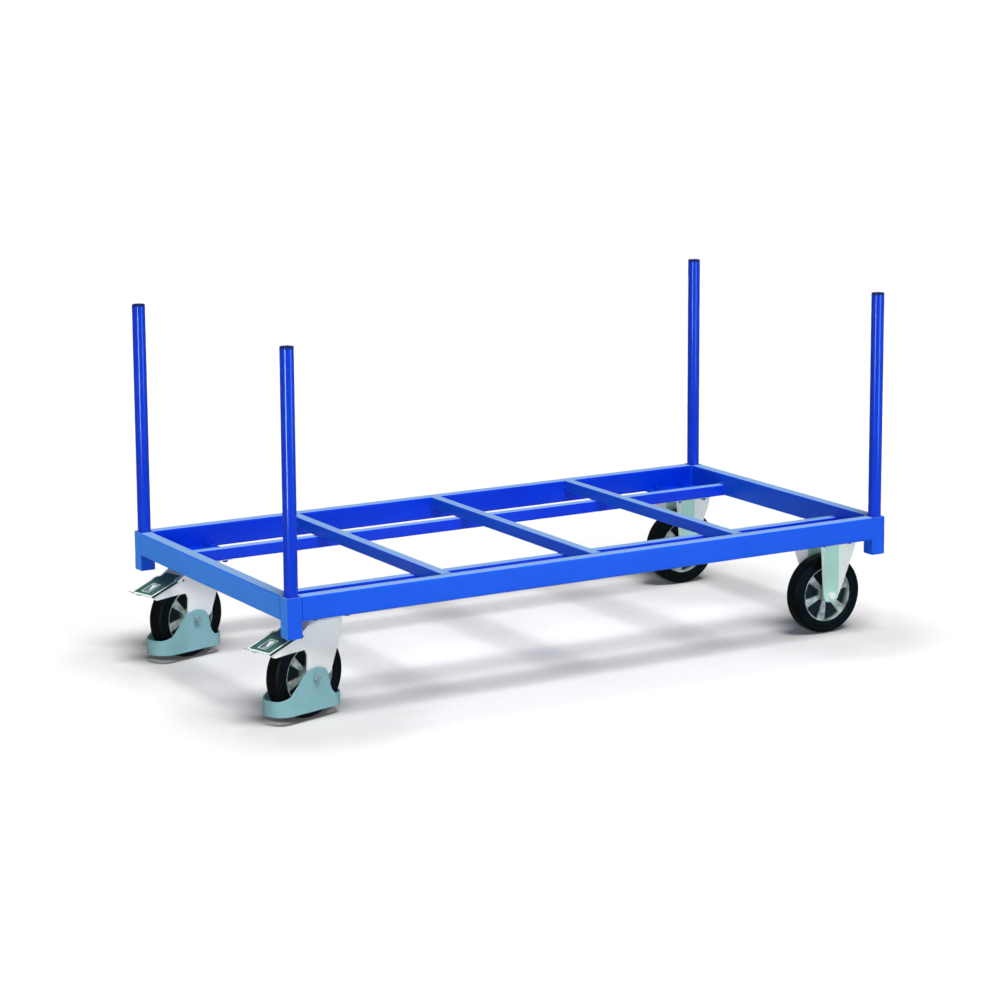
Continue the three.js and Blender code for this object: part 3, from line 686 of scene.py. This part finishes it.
def fixedLeg(sign):  # a sheet with a bent edge on each side, cut to its tapering outline
    v = fixedForkValues
    tip = v["flange"] * math.sqrt(0.5)
    skew = (v["outer"] - v["inner"]) * math.sqrt(0.5)
    bend = v["legHalf"] + (v["outer"] - v["inner"]) * math.tan(math.pi / 8)
    half = [(v["legHalf"] + tip, v["outer"] + tip, 0), (v["legHalf"], v["outer"], v["concave"])]
    inner = [(-bend, v["inner"], v["convex"]), (bend, v["inner"], v["convex"])]
    section = half + [(-x, y, size) for x, y, size in reversed(half)]
    section += [(-v["legHalf"] - tip - skew, v["outer"] + tip - skew, 0)] + inner
    section += [(v["legHalf"] + tip + skew, v["outer"] + tip - skew, 0)]
    points = [(x, sign * y) for x, y in roundCorners(section, 0, 6)]
    leg = addOutline("leg", points, v["legTop"] - v["legLow"], v["legLow"], "Z")
    right = inMetres(v["outline"])
    shape = roundCorners(right + [(-x, z, size) for x, z, size in reversed(right)], 0, 8)
    start = v["cutFrom"] if sign > 0 else -v["cutTo"]
    cutter = addOutline("cutter", shape, v["cutTo"] - v["cutFrom"], start)
    combine(leg, cutter, "INTERSECT")
    return leg


def makeFixedFork():
    v = fixedForkValues
    piece = topPlate("fixedFork")
    for sign in (-1, 1):
        combine(piece, fixedLeg(sign), "UNION")
    drill(piece, v["bore"], -v["cutTo"], v["cutTo"], "Y", (0, v["axle"]))
    soften(piece, v["edge"], 2, 50)
    smooth(piece, 30)
    return piece


fixedFork = makeFixedFork()
print("fixed fork made")


# Swivel fork: a bent channel cut to its side outline, with the round head on its crown.
# The axle is over the origin and X runs towards the swivel axis.

forkValues = {
    "inner": 32 * mm, "outer": 36 * mm, "crownTop": 226 * mm, "crownLow": 221 * mm,
    "headRadius": 43 * mm, "trail": 52 * mm, "bend": 8 * mm, "innerBend": 4 * mm, "edge": 0.5 * mm,
    "axle": 100 * mm, "bore": 6.3 * mm, "pinBore": 3.3 * mm, "cut": 50 * mm, "headEdge": 1 * mm,
    "blank": (-135 * mm, 100 * mm, 60 * mm), "past": 10 * mm,  # back, ahead and low of the blank sheet
    "pivot": (-34 * mm, 199 * mm),
    "outline": [  # along, up and the corner's radius, in mm
        (85.9, 226, 0), (79.5, 184, 40), (50, 103, 10), (19, 85, 12), (0, 77.2, 24), (-19, 87, 12),
        (-22.5, 106, 8), (-20.3, 152, 4), (-27, 166.5, 5), (-70, 166, 0), (-117, 163.5, 4),
        (-126.5, 168.5, 3), (-127, 175.5, 2), (-48.2, 201.6, 10), (-7, 226, 0),
    ],
}


def makeSwivelFork():
    v = forkValues
    (back, ahead, low), past = v["blank"], v["past"]
    piece = addBlock("swivelFork", (back, -v["outer"], low), (ahead, v["outer"], v["crownTop"]))
    roundEdges(piece, lambda a, b: runsAlong(0)(a, b) and a.z > v["crownLow"], v["bend"], 6)
    inside = addBlock("inside", (back - past, -v["inner"], low - past),
                      (ahead + past, v["inner"], v["crownLow"]))
    roundEdges(inside, lambda a, b: runsAlong(0)(a, b) and a.z > low, v["innerBend"], 5)
    combine(piece, inside, "DIFFERENCE")
    shape = roundCorners(inMetres(v["outline"]), 0, 6)
    combine(piece, addOutline("cutter", shape, 2 * v["cut"], -v["cut"]), "INTERSECT")
    head = addRod("head", v["headRadius"], v["crownLow"], v["crownTop"], "Z", (v["trail"], 0), 64)
    soften(head, v["headEdge"], 3)
    combine(piece, head, "UNION")
    drill(piece, v["bore"], -v["cut"], v["cut"], "Y", (0, v["axle"]))
    drill(piece, v["pinBore"], -v["cut"], v["cut"], "Y", v["pivot"])
    drill(piece, v["bore"], v["crownLow"] - 5 * spare, v["crownTop"] + 5 * spare, "Z", (v["trail"], 0))
    soften(piece, v["edge"], 2, 50)
    smooth(piece, 30)
    return piece


swivelFork = makeSwivelFork()
print("swivel fork made")


# Bearing ring and kingpin

headValues = {
    "outer": 43 * mm, "inner": 20 * mm, "low": 226.3 * mm, "high": 237.7 * mm,
    "pin": 6 * mm, "pinAcross": 20.4 * mm, "pinLow": 214.7 * mm, "pinHigh": 220.7 * mm,
    "cup": [(0, -5), (0.8, -1.5), (2.4, 0), (4.2, -0.4), (5, -3.5)],  # rise and step outwards, in mm
}


def makeBearing():  # two race cups with the ball groove between them
    v = headValues
    half = [(v["inner"], v["low"])]
    half += [(v["outer"] + step * mm, v["low"] + rise * mm) for rise, step in v["cup"]]
    profile = half + [(radius, v["low"] + v["high"] - up) for radius, up in reversed(half)]
    piece = spinProfile("bearing", profile, "Z", 72)
    smooth(piece, 40)
    return movePiece(piece, (forkValues["trail"], 0, 0))


def makeKingpin():
    v = headValues
    piece = hexPiece("kingpin", v["pinAcross"], v["pinLow"], v["pinHigh"], -1, "Z")
    shaft = addRod("shaft", v["pin"], v["pinHigh"] - spare, plateValues["high"], "Z", (0, 0), 32)
    combine(piece, shaft, "UNION")
    smooth(piece)
    return piece


bearing, kingpin, swivelPlate = makeBearing(), makeKingpin(), topPlate("swivelPlate")
drillPlate(swivelPlate, plateValues["pinHole"], (0, 0))
smooth(swivelPlate)
print("swivel heads made")


# Foot guard: a band round the wheel with a hill up to the axle on both sides

guardValues = {
    "rear": -109.4 * mm, "front": 92.5 * mm, "half": 41.5 * mm, "low": 15 * mm, "height": 115 * mm,
    "wall": 3 * mm, "corner": 38 * mm, "cornerSteps": 12, "edge": 1.3 * mm,
    "boss": 14 * mm, "bossLow": 36.3 * mm, "axle": 100 * mm, "bore": 6.3 * mm, "cut": 50 * mm,
    "outline": [  # along, up and the corner's radius, in mm
        (-115, 21.5, 0), (98, 21.5, 0), (98, 49.5, 0), (58, 50.2, 12), (46.5, 62, 14),
        (40.5, 81, 20), (36.5, 102, 16), (28, 115, 14), (4, 121.8, 22), (-20, 118.8, 14),
        (-35, 109.5, 12), (-50, 92, 24), (-76, 65.5, 26), (-98, 58, 14), (-115, 57.5, 0),
    ],
}


def makeGuard():
    v = guardValues
    left, right = v["rear"] + v["corner"], v["front"] - v["corner"]
    across = v["half"] - v["corner"]
    outline = []
    for index, (x, y) in enumerate([(left, -across), (right, -across), (right, across), (left, across)]):
        for step in range(v["cornerSteps"] + 1):
            angle = math.pi + (index + step / v["cornerSteps"]) * math.pi / 2
            outline.append((x + v["corner"] * math.cos(angle), y + v["corner"] * math.sin(angle)))
    piece = addOutline("footGuard", outline, v["height"], v["low"], "Z")
    pickFaces(piece, facing(2))
    bpy.ops.mesh.inset(thickness=v["wall"])
    bpy.ops.mesh.bridge_edge_loops()
    leaveEdit()
    tidyMesh(piece)
    shape = roundCorners(inMetres(v["outline"]), 0, 6)
    combine(piece, addOutline("cutter", shape, 2 * v["cut"], -v["cut"]), "INTERSECT")
    for sign in (-1, 1):
        low, high = sorted((sign * v["bossLow"], sign * (v["half"] - v["wall"] + spare)))
        combine(piece, addRod("boss", v["boss"], low, high, "Y", (0, v["axle"])), "UNION")
    drill(piece, v["bore"], -v["cut"], v["cut"], "Y", (0, v["axle"]))
    soften(piece, v["edge"], 3, 50)
    smooth(piece, 30)
    return piece


footGuard = makeGuard()
print("foot guard made")


# Brake pedal, level round its pivot while it is made; X runs back to the foot's end below zero

pedalValues = {
    "length": 104 * mm, "half": 39 * mm, "rise": 8 * mm, "thick": 2.5 * mm, "neck": 18.5 * mm,
    "nose": 9 * mm, "neckHalf": 31.4 * mm, "flange": 3.5 * mm, "ear": 8 * mm, "earThick": 3 * mm,
    "recess": 1.2 * mm, "tilt": 18, "pin": 3 * mm, "pinHalf": 36.3 * mm,
    "wheel": 101.1 * mm, "shoe": (-34 * mm, -20 * mm, 18 * mm, -16 * mm),
    "window": (-91 * mm, -50 * mm, -13 * mm, 15 * mm), "windowWall": 2 * mm, "windowRise": 1.1 * mm,
    "sink": 0.6 * mm, "panelThick": 0.8 * mm, "panelGap": 0.3 * mm, "flapThick": 1.4 * mm,
    "lipThick": 1.6 * mm, "lipTilt": 38, "lipIn": (0.8 * mm, 0.4 * mm), "edge": 0.4 * mm,
    "pinEdge": 0.8 * mm, "panelEdge": 0.2 * mm, "pinCut": 45 * mm, "shoeCut": 30 * mm, "cut": 5 * mm,
    "hole": [(-86, -7), (-58, 11), (-85, 11)],  # outlines in mm
    "panel": [(-99.5, -34), (-24, -34), (-18, -27), (4, -27),
              (4, 27), (-18, 27), (-24, 34), (-99.5, 34)],
    "lip": [(0.8, 2), (-7, 22), (-17.7, 30.5), (-12, 37), (0.8, 38.5)],
    "flap": [(-86, -7), (-55, -8), (-57, 10)],
}


def makePedal():
    v = pedalValues
    top, low = v["rise"] + v["thick"], v["rise"]
    corners = [(-v["length"], -v["half"], 2 * mm), (-v["neck"], -v["half"], 3 * mm),
               (-v["neck"], -v["neckHalf"], 0), (v["nose"], -v["neckHalf"], 4 * mm)]
    shape = roundCorners(corners + [(x, -y, size) for x, y, size in reversed(corners)], 0, 4)
    piece = addOutline("pedal", shape, v["thick"], low, "Z")
    for sign in (-1, 1):
        near, far = sorted((sign * v["half"], sign * (v["half"] - v["thick"])))
        corner = (-v["length"] + 1 * mm, near, low - v["flange"])
        flange = addBlock("flange", corner, (-v["neck"], far, low + spare))
        roundEdges(flange, lambda a, b: runsAlong(1)(a, b) and a.z < low, 3 * mm, 4)
        combine(piece, flange, "UNION")
        inner, outer = sorted((sign * v["neckHalf"], sign * (v["neckHalf"] - v["earThick"])))
        earShape = [(v["ear"], low + spare, 0), (v["ear"], -v["ear"], v["ear"]),
                    (-v["ear"], -v["ear"], v["ear"]), (-v["ear"], low + spare, 0)]
        combine(piece, addOutline("ear", roundCorners(earShape, 0, 6), v["earThick"], inner), "UNION")
    back, ahead, half, depth = v["shoe"]
    shoe = addBlock("shoe", (back, -half, depth), (ahead, half, low + spare))
    tilt = math.radians(v["tilt"])
    across, up = -forkValues["pivot"][0], forkValues["axle"] - forkValues["pivot"][1]
    axle = (across * math.cos(tilt) + up * math.sin(tilt),
            up * math.cos(tilt) - across * math.sin(tilt))
    drill(shoe, v["wheel"], -v["shoeCut"], v["shoeCut"], "Y", axle)
    combine(piece, shoe, "UNION")
    hole = addOutline("hole", inMetres(v["hole"]), 2 * v["cut"], low - v["cut"], "Z")
    combine(piece, hole, "DIFFERENCE")
    lip = addOutline("lip", inMetres(v["lip"]), v["lipThick"], 0, "Z")
    lip.rotation_euler = (0, math.radians(v["lipTilt"]), 0)
    movePiece(lip, (-v["length"] + v["lipIn"][0], 0, low + v["lipIn"][1]))
    combine(piece, lip, "UNION")
    drill(piece, v["pin"] + play, -v["pinCut"], v["pinCut"], "Y", (0, 0))
    pocket = roundCorners(inMetres(v["panel"]), 2 * mm)
    combine(piece, addOutline("pocket", pocket, v["cut"], top - v["recess"], "Z"), "DIFFERENCE")
    soften(piece, v["edge"], 2, 50)
    smooth(piece, 30)
    return piece


def makePanel():  # the dark sheet in the plate's recess
    v = pedalValues
    top, gap = v["rise"] + v["thick"], v["panelGap"]
    outline = [(x - math.copysign(gap, x + 50 * mm), y - math.copysign(gap, y))
               for x, y in inMetres(v["panel"])]
    piece = addOutline("panel", roundCorners(outline, 1.7 * mm), v["panelThick"], top - v["recess"], "Z")
    hole = addOutline("hole", inMetres(v["hole"]), 2 * v["cut"], top - v["cut"], "Z")
    combine(piece, hole, "DIFFERENCE")
    soften(piece, v["panelEdge"], 2, 50)
    smooth(piece)
    return piece


def makeWindow():  # pale pressed frame round the hole, with the folded flap
    v = pedalValues
    top = v["rise"] + v["thick"] - v["sink"]
    back, ahead, low, high = v["window"]
    piece = addBlock("window", (back, low, top), (ahead, high, top + v["windowRise"]))
    pickFaces(piece, facing(2))
    bpy.ops.mesh.inset(thickness=v["windowWall"])
    bpy.ops.mesh.bridge_edge_loops()
    leaveEdit()
    tidyMesh(piece)
    soften(piece, v["edge"])
    flap = addOutline("flap", inMetres(v["flap"]), v["flapThick"], top, "Z")
    soften(flap, v["edge"])
    joinPieces("window", [piece, flap])
    smooth(piece)
    return piece


def layPedal(piece):
    piece.rotation_euler = (0, -math.radians(pedalValues["tilt"]), 0)
    return movePiece(piece, (forkValues["pivot"][0], 0, forkValues["pivot"][1]))


pedal, panel, window = (layPedal(make()) for make in (makePedal, makePanel, makeWindow))
pedalPin = addRod("pedalPin", pedalValues["pin"], -pedalValues["pinHalf"], pedalValues["pinHalf"], "Y",
                  forkValues["pivot"], 32)
soften(pedalPin, pedalValues["pinEdge"], 3)
smooth(pedalPin)
print("pedal made")


# Mounting plates, caster bolts and weld beads

mountValues = {"postReach": 19.2 * mm, "edge": 0.6 * mm}
casterJoints = {"swivel": "swivel_turn_", "fixed": "wheel_spin_fixed_"}
casterPlaces = {f"{end}_{side}": Vector(joints[casterJoints[end] + side]["pos_m"])
                for end in ends for side in sides}


def mountPlate(spot):
    low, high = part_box("mount_plate_" + spot)
    piece = addBlock("mount_plate_" + spot + "_sheet", low, high)
    postLow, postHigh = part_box("post_" + spot)
    middle, reach = (postLow + postHigh) / 2, mountValues["postReach"]
    notch = addBlock("notch", (middle.x - reach, middle.y - reach, low.z - spare),
                     (middle.x + reach, middle.y + reach, high.z + spare))
    combine(piece, notch, "DIFFERENCE")
    for x, y in boltPlaces():
        place = (casterPlaces[spot].x + x, casterPlaces[spot].y + y)
        drill(piece, plateValues["hole"], low.z - spare, high.z + spare, "Z", place)
    soften(piece, mountValues["edge"], 2, 50)
    smooth(piece)
    return piece


boltValues = {
    "shank": 4 * mm, "across": 12 * mm, "washer": 6.9 * mm, "washerThick": 1.6 * mm, "tip": 261 * mm,
    "headLow": 231.2 * mm, "headHigh": 238 * mm, "nutLow": 250 * mm, "nutHigh": 258 * mm,
    "edge": 0.4 * mm,
}


def casterBolt():  # hexagon head under the top plate, nut over the mounting plate
    v = boltValues
    head = hexPiece("head", v["across"], v["headLow"], v["headHigh"] - v["washerThick"], -1, "Z")
    nut = hexPiece("nut", v["across"], v["nutLow"] + v["washerThick"], v["nutHigh"], 1, "Z")
    washers = [addRod("washer", v["washer"], low, low + v["washerThick"], "Z", (0, 0), 32)
               for low in (v["headHigh"] - v["washerThick"], v["nutLow"])]
    shank = addRod("shank", v["shank"], v["headHigh"] - spare, v["tip"], "Z", (0, 0), 24)
    for piece in (*washers, shank):
        soften(piece, v["edge"])
    bolt = joinPieces("casterBolt", [head, nut, *washers, shank])
    smooth(bolt)
    return bolt


beadValues = {"radius": 3 * mm, "ripple": 0.5 * mm, "pitch": 1.6 * mm, "tip": 0.4 * mm, "steps": 12,
              "crossGap": 4 * mm, "railGap": 7 * mm, "deckGap": 3 * mm}


def makeBead(length):  # a rippled run of weld along Z round the origin
    v = beadValues
    count = 2 * round(length / v["pitch"] / 2)
    profile = [(v["tip"], -length / 2)]
    for step in range(1, count):
        profile.append((v["radius"] - step % 2 * v["ripple"], length * (step / count - 0.5)))
    bead = spinProfile("bead", profile + [(v["tip"], length / 2)], "Z", v["steps"])
    smooth(bead, 60)
    return bead


def beadRuns():  # middle, direction and length of each run
    v = beadValues
    railLow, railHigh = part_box("side_rail_near")
    crossLow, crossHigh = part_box("cross_member_1")
    deck, seam = railHigh.z, crossLow.z
    short, long = crossHigh.x - crossLow.x - v["crossGap"], deck - railLow.z - v["railGap"]
    longMiddle = deck - long / 2 - v["deckGap"]
    upper, lower = (crossLow.z + crossHigh.z) / 2, (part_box("lower_bar_near")[0].z + seam) / 2
    runs = []
    for side in sides:
        railLow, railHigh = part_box("side_rail_" + side)
        face = railHigh.y if side == "near" else railLow.y
        barLow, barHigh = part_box("lower_bar_" + side)
        for index in (1, 2, 3):
            low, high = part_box(f"cross_member_{index}")
            runs += [((x, face, upper), "Z", short) for x in (low.x, high.x)]
            runs.append((((low.x + high.x) / 2, face, seam), "X", short))
            runs += [(((low.x + high.x) / 2, y, seam), "X", short) for y in (barLow.y, barHigh.y)]
        for end in ends:
            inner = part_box("end_rail_" + end)[1 if end == "swivel" else 0].x
            runs += [((inner, y, lower), "Z", short) for y in (barLow.y, barHigh.y)]
            runs.append(((inner, (barLow.y + barHigh.y) / 2, seam), "Y", short))
            postLow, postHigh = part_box(f"post_{end}_{side}")
            postFace = postHigh.y if side == "near" else postLow.y
            runs.append(((inner, postFace, longMiddle), "Z", long))
            postSide = postHigh.x if end == "swivel" else postLow.x
            runs.append(((postSide, face, longMiddle), "Z", long))
    return runs


def layBeads():
    runs = beadRuns()
    models = {length: makeBead(length) for length in sorted({run[2] for run in runs})}
    turns = {"X": (0, math.pi / 2, 0), "Y": (math.pi / 2, 0, 0), "Z": (0, 0, 0)}
    beads = []
    for middle, direction, length in runs:
        bead = copyPiece(models[length], "bead")
        bead.rotation_euler = turns[direction]
        beads.append(movePiece(bead, middle))
    for model in models.values():
        bpy.data.objects.remove(model)
    return joinPieces("frame_welds", beads)


# mounting plates and caster bolts take the darkest copy: painted shade under the deck
for spot in casterPlaces:
    dress(mountPlate(spot), underDeckPaintedShade, "frame", "frame_paint", "mount_plate_" + spot)
casterBolts = casterBolt()
for spot, middle in casterPlaces.items():
    for index, (x, y) in enumerate(boltPlaces()):
        bolt = copyPiece(casterBolts, f"caster_bolt_{spot}_{index + 1}", (middle.x + x, middle.y + y, 0))
        dress(bolt, underDeckPaintedShade, "frame", "frame_paint")
bpy.data.objects.remove(casterBolts)
# the welds take the copy with painted shade
dress(layBeads(), innerPaintedShadeAndLight, "frame", "frame_paint")
print("mounting plates, bolts and welds made")


# Casters put in their places

def placeOf(joint):
    spot, axis = Vector(joints[joint]["pos_m"]), Vector(joints[joint]["axis"])
    return (spot.x, spot.y, 0), math.atan2(-axis.x, axis.y)


def putPiece(source, name, joint, material, body, slot, *nodes):
    spot, turn = placeOf(joint)
    if joint.startswith("swivel_turn"):
        turn = 0
    dress(copyPiece(source, name, spot, turn), material, body, slot, *nodes)


for piece in (tyre, rim, swivelBolt, swivelNut, fixedBolt, fixedNut):
    movePiece(piece, (0, 0, wheelValues["radius"]))
axlePieces = {"swivel": (swivelBolt, swivelNut, boltZinc), "fixed": (fixedBolt, fixedNut, brightZinc)}
for side in sides:
    for end in ends:
        spot = f"{end}_{side}"
        joint, body = "wheel_spin_" + spot, "wheel_" + spot
        putPiece(tyre, f"tyre_{spot}_ring", joint, tyreRubber, body, "tyre_rubber", "tyre_" + spot)
        putPiece(rim, f"rim_{spot}_casting", joint, rimMetal, body, "rim_plastic", "rim_" + spot)
        carrier = f"swivel_{side}" if end == "swivel" else "frame"
        bolt, nut, zinc = axlePieces[end]
        putPiece(bolt, f"axle_bolt_{spot}_hex", joint, zinc, carrier, "zinc", "axle_bolt_" + spot)
        putPiece(nut, f"axle_nut_{spot}_hex", joint, zinc, carrier, "zinc", "axle_nut_" + spot)
    axle, turn = f"wheel_spin_swivel_{side}", f"swivel_turn_{side}"
    body, foot = f"swivel_{side}", f"pedal_{side}"
    for source, node, added, *rest in (  # rest: joint, finish, body and slot
        (fixedFork, "fixed_fork_", "sheet", f"wheel_spin_fixed_{side}", legZinc, "frame", "zinc"),
        (swivelFork, "swivel_fork_", "sheet", axle, brightZinc, body, "zinc"),
        (bearing, "swivel_bearing_", "races", axle, brightZinc, body, "zinc"),
        (footGuard, "foot_guard_", "band", axle, guardPaint, body, "guard_paint"),
        # the pin takes the dark finish: painted shade, the dark spot of its hole
        (pedalPin, "pedal_pin_", "rod", axle, panelZinc, body, "zinc"),
        (pedal, "brake_pedal_", "plate", axle, pedalZinc, foot, "pedal_zinc"),
    ):
        putPiece(source, f"{node}{side}_{added}", *rest, node + side)
    putPiece(panel, f"brake_pedal_{side}_panel", axle, panelZinc, foot, "pedal_zinc")
    putPiece(window, f"brake_pedal_{side}_window", axle, pedalZinc, foot, "pedal_zinc")
    putPiece(swivelPlate, f"top_plate_swivel_{side}_sheet", turn, brightZinc, "frame", "zinc",
             f"top_plate_swivel_{side}")
    putPiece(kingpin, f"kingpin_{side}_bolt", turn, brightZinc, "frame", "zinc", f"kingpin_{side}")
for piece in (tyre, rim, swivelBolt, swivelNut, fixedBolt, fixedNut, fixedFork, swivelFork, bearing,
              footGuard, pedalPin, pedal, panel, window, swivelPlate, kingpin):
    bpy.data.objects.remove(piece)
print("casters placed")


# Camera

cameraValues = {
    "place": (-3.59280, -6.10675, 1.82600), "turn": -0.5321, "down": 0.1695, "lean": 0.0057,
    "lens": 105.73, "shift": -0.1,
}
deselectAll()
bpy.ops.object.camera_add(location=cameraValues["place"])
camera = bpy.context.object
aim = Euler((math.pi / 2 - cameraValues["down"], 0, cameraValues["turn"])).to_matrix()
camera.rotation_euler = (aim @ Matrix.Rotation(-cameraValues["lean"], 3, "Z")).to_euler()
camera.data.lens = cameraValues["lens"]
camera.data.sensor_width = 36
camera.data.shift_y = cameraValues["shift"]
camera.data.clip_end = 200
bpy.context.scene.camera = camera
print("camera placed")


# Floor, lamps and surroundings

roomValues = {
    "floorSize": 160, "floorColor": (0.752, 0.746, 0.741), "floorLift": 0.03,
    "shadeReach": 0.32, "shadeFrom": 0.917, "shadeLeast": 0.75,  # painted shade: the floor's colour darkens under what is close
    "ambient": 0.05, "reflected": 0.12,
    "suns": [  # strength, spread and turn: overhead light, low fill from the front
        (4.1, 28, (20, 0, 0)), (1.2, 50, (82, 0, -31)),
    ],
    "strips": [  # place, width, height, power and colour of each standing light
        ((-2.60, -1.70, 0.62), 0.36, 1.2, 30, (0.70, 0.88, 1.0)),
        ((1.30, -2.70, 0.62), 1.0, 1.2, 32, (0.18, 0.48, 1.0)),
    ],
}


def seenDirectly(nodes, links):  # 1 for camera and transmission rays, then 1 for gloss
    path = nodes.new("ShaderNodeLightPath")
    either = nodes.new("ShaderNodeMath")
    either.operation = "MAXIMUM"
    links.new(path.outputs["Is Camera Ray"], either.inputs[0])
    links.new(path.outputs["Is Transmission Ray"], either.inputs[1])
    return either.outputs[0], path.outputs["Is Glossy Ray"]


deselectAll()
bpy.ops.mesh.primitive_plane_add(size=roomValues["floorSize"], location=(0, 0, 0))
floor = newPiece("studioFloor")
floor.visible_glossy = False  # gloss shows the room
floorFinish = bpy.data.materials.new("studioFloor")
floorFinish.use_nodes = True
nodes, links = floorFinish.node_tree.nodes, floorFinish.node_tree.links
nodes.clear()
matt = nodes.new("ShaderNodeBsdfDiffuse")
# painted shade: the floor's colour is scaled down where it is closed in
openness = nodes.new("ShaderNodeAmbientOcclusion")
openness.samples = 8
openness.inputs["Distance"].default_value = roomValues["shadeReach"]
shade = nodes.new("ShaderNodeMapRange")
shade.inputs["From Min"].default_value = roomValues["shadeFrom"]
shade.inputs["To Min"].default_value = roomValues["shadeLeast"]
links.new(openness.outputs["AO"], shade.inputs["Value"])
shaded = nodes.new("ShaderNodeVectorMath")
shaded.operation = "SCALE"
shaded.inputs[0].default_value = roomValues["floorColor"]
links.new(shade.outputs["Result"], shaded.inputs["Scale"])
links.new(shaded.outputs[0], matt.inputs["Color"])
glow = nodes.new("ShaderNodeEmission")
both = nodes.new("ShaderNodeAddShader")
lift = nodes.new("ShaderNodeMath")
lift.operation = "MULTIPLY"
lift.inputs[1].default_value = roomValues["floorLift"]
links.new(seenDirectly(nodes, links)[0], lift.inputs[0])
links.new(lift.outputs[0], glow.inputs["Strength"])
links.new(matt.outputs[0], both.inputs[0])
links.new(glow.outputs[0], both.inputs[1])
output = nodes.new("ShaderNodeOutputMaterial")
links.new(both.outputs[0], output.inputs["Surface"])
floor.data.materials.append(floorFinish)

room = bpy.data.worlds.new("studioRoom")
bpy.context.scene.world = room
room.use_nodes = True
nodes, links = room.node_tree.nodes, room.node_tree.links
nodes.clear()
ambient = nodes.new("ShaderNodeBackground")
seen, glossy = seenDirectly(nodes, links)
level = nodes.new("ShaderNodeMapRange")  # soft light, and what gloss reflects
level.inputs["To Min"].default_value = roomValues["ambient"]
level.inputs["To Max"].default_value = roomValues["reflected"]
links.new(glossy, level.inputs["Value"])
links.new(level.outputs["Result"], ambient.inputs["Strength"])
white = nodes.new("ShaderNodeBackground")
white.inputs["Color"].default_value = (1, 1, 1, 1)
ambient.inputs["Color"].default_value = (1, 1, 1, 1)
choice = nodes.new("ShaderNodeMixShader")
links.new(seen, choice.inputs[0])
links.new(ambient.outputs[0], choice.inputs[1])
links.new(white.outputs[0], choice.inputs[2])
output = nodes.new("ShaderNodeOutputWorld")
links.new(choice.outputs[0], output.inputs["Surface"])

for strength, spread, turn in roomValues["suns"]:
    deselectAll()
    bpy.ops.object.light_add(type="SUN", location=(0, -2, 5))
    sun = bpy.context.object
    sun.rotation_euler = [math.radians(angle) for angle in turn]
    sun.data.energy = strength
    sun.data.angle = math.radians(spread)
    sun.visible_glossy = False
for spot, width, height, power, color in roomValues["strips"]:
    deselectAll()
    bpy.ops.object.light_add(type="AREA", location=spot)
    strip = bpy.context.object
    strip.rotation_euler = (Vector((0, 0, spot[2])) - Vector(spot)).to_track_quat("-Z", "Y").to_euler()
    strip.data.shape = "RECTANGLE"
    strip.data.size, strip.data.size_y = width, height
    strip.data.energy, strip.data.color = power, color
    strip.visible_camera = strip.visible_diffuse = False  # only a shine on gloss
bpy.context.scene.view_settings.view_transform = "Standard"
print("room and lamps made")
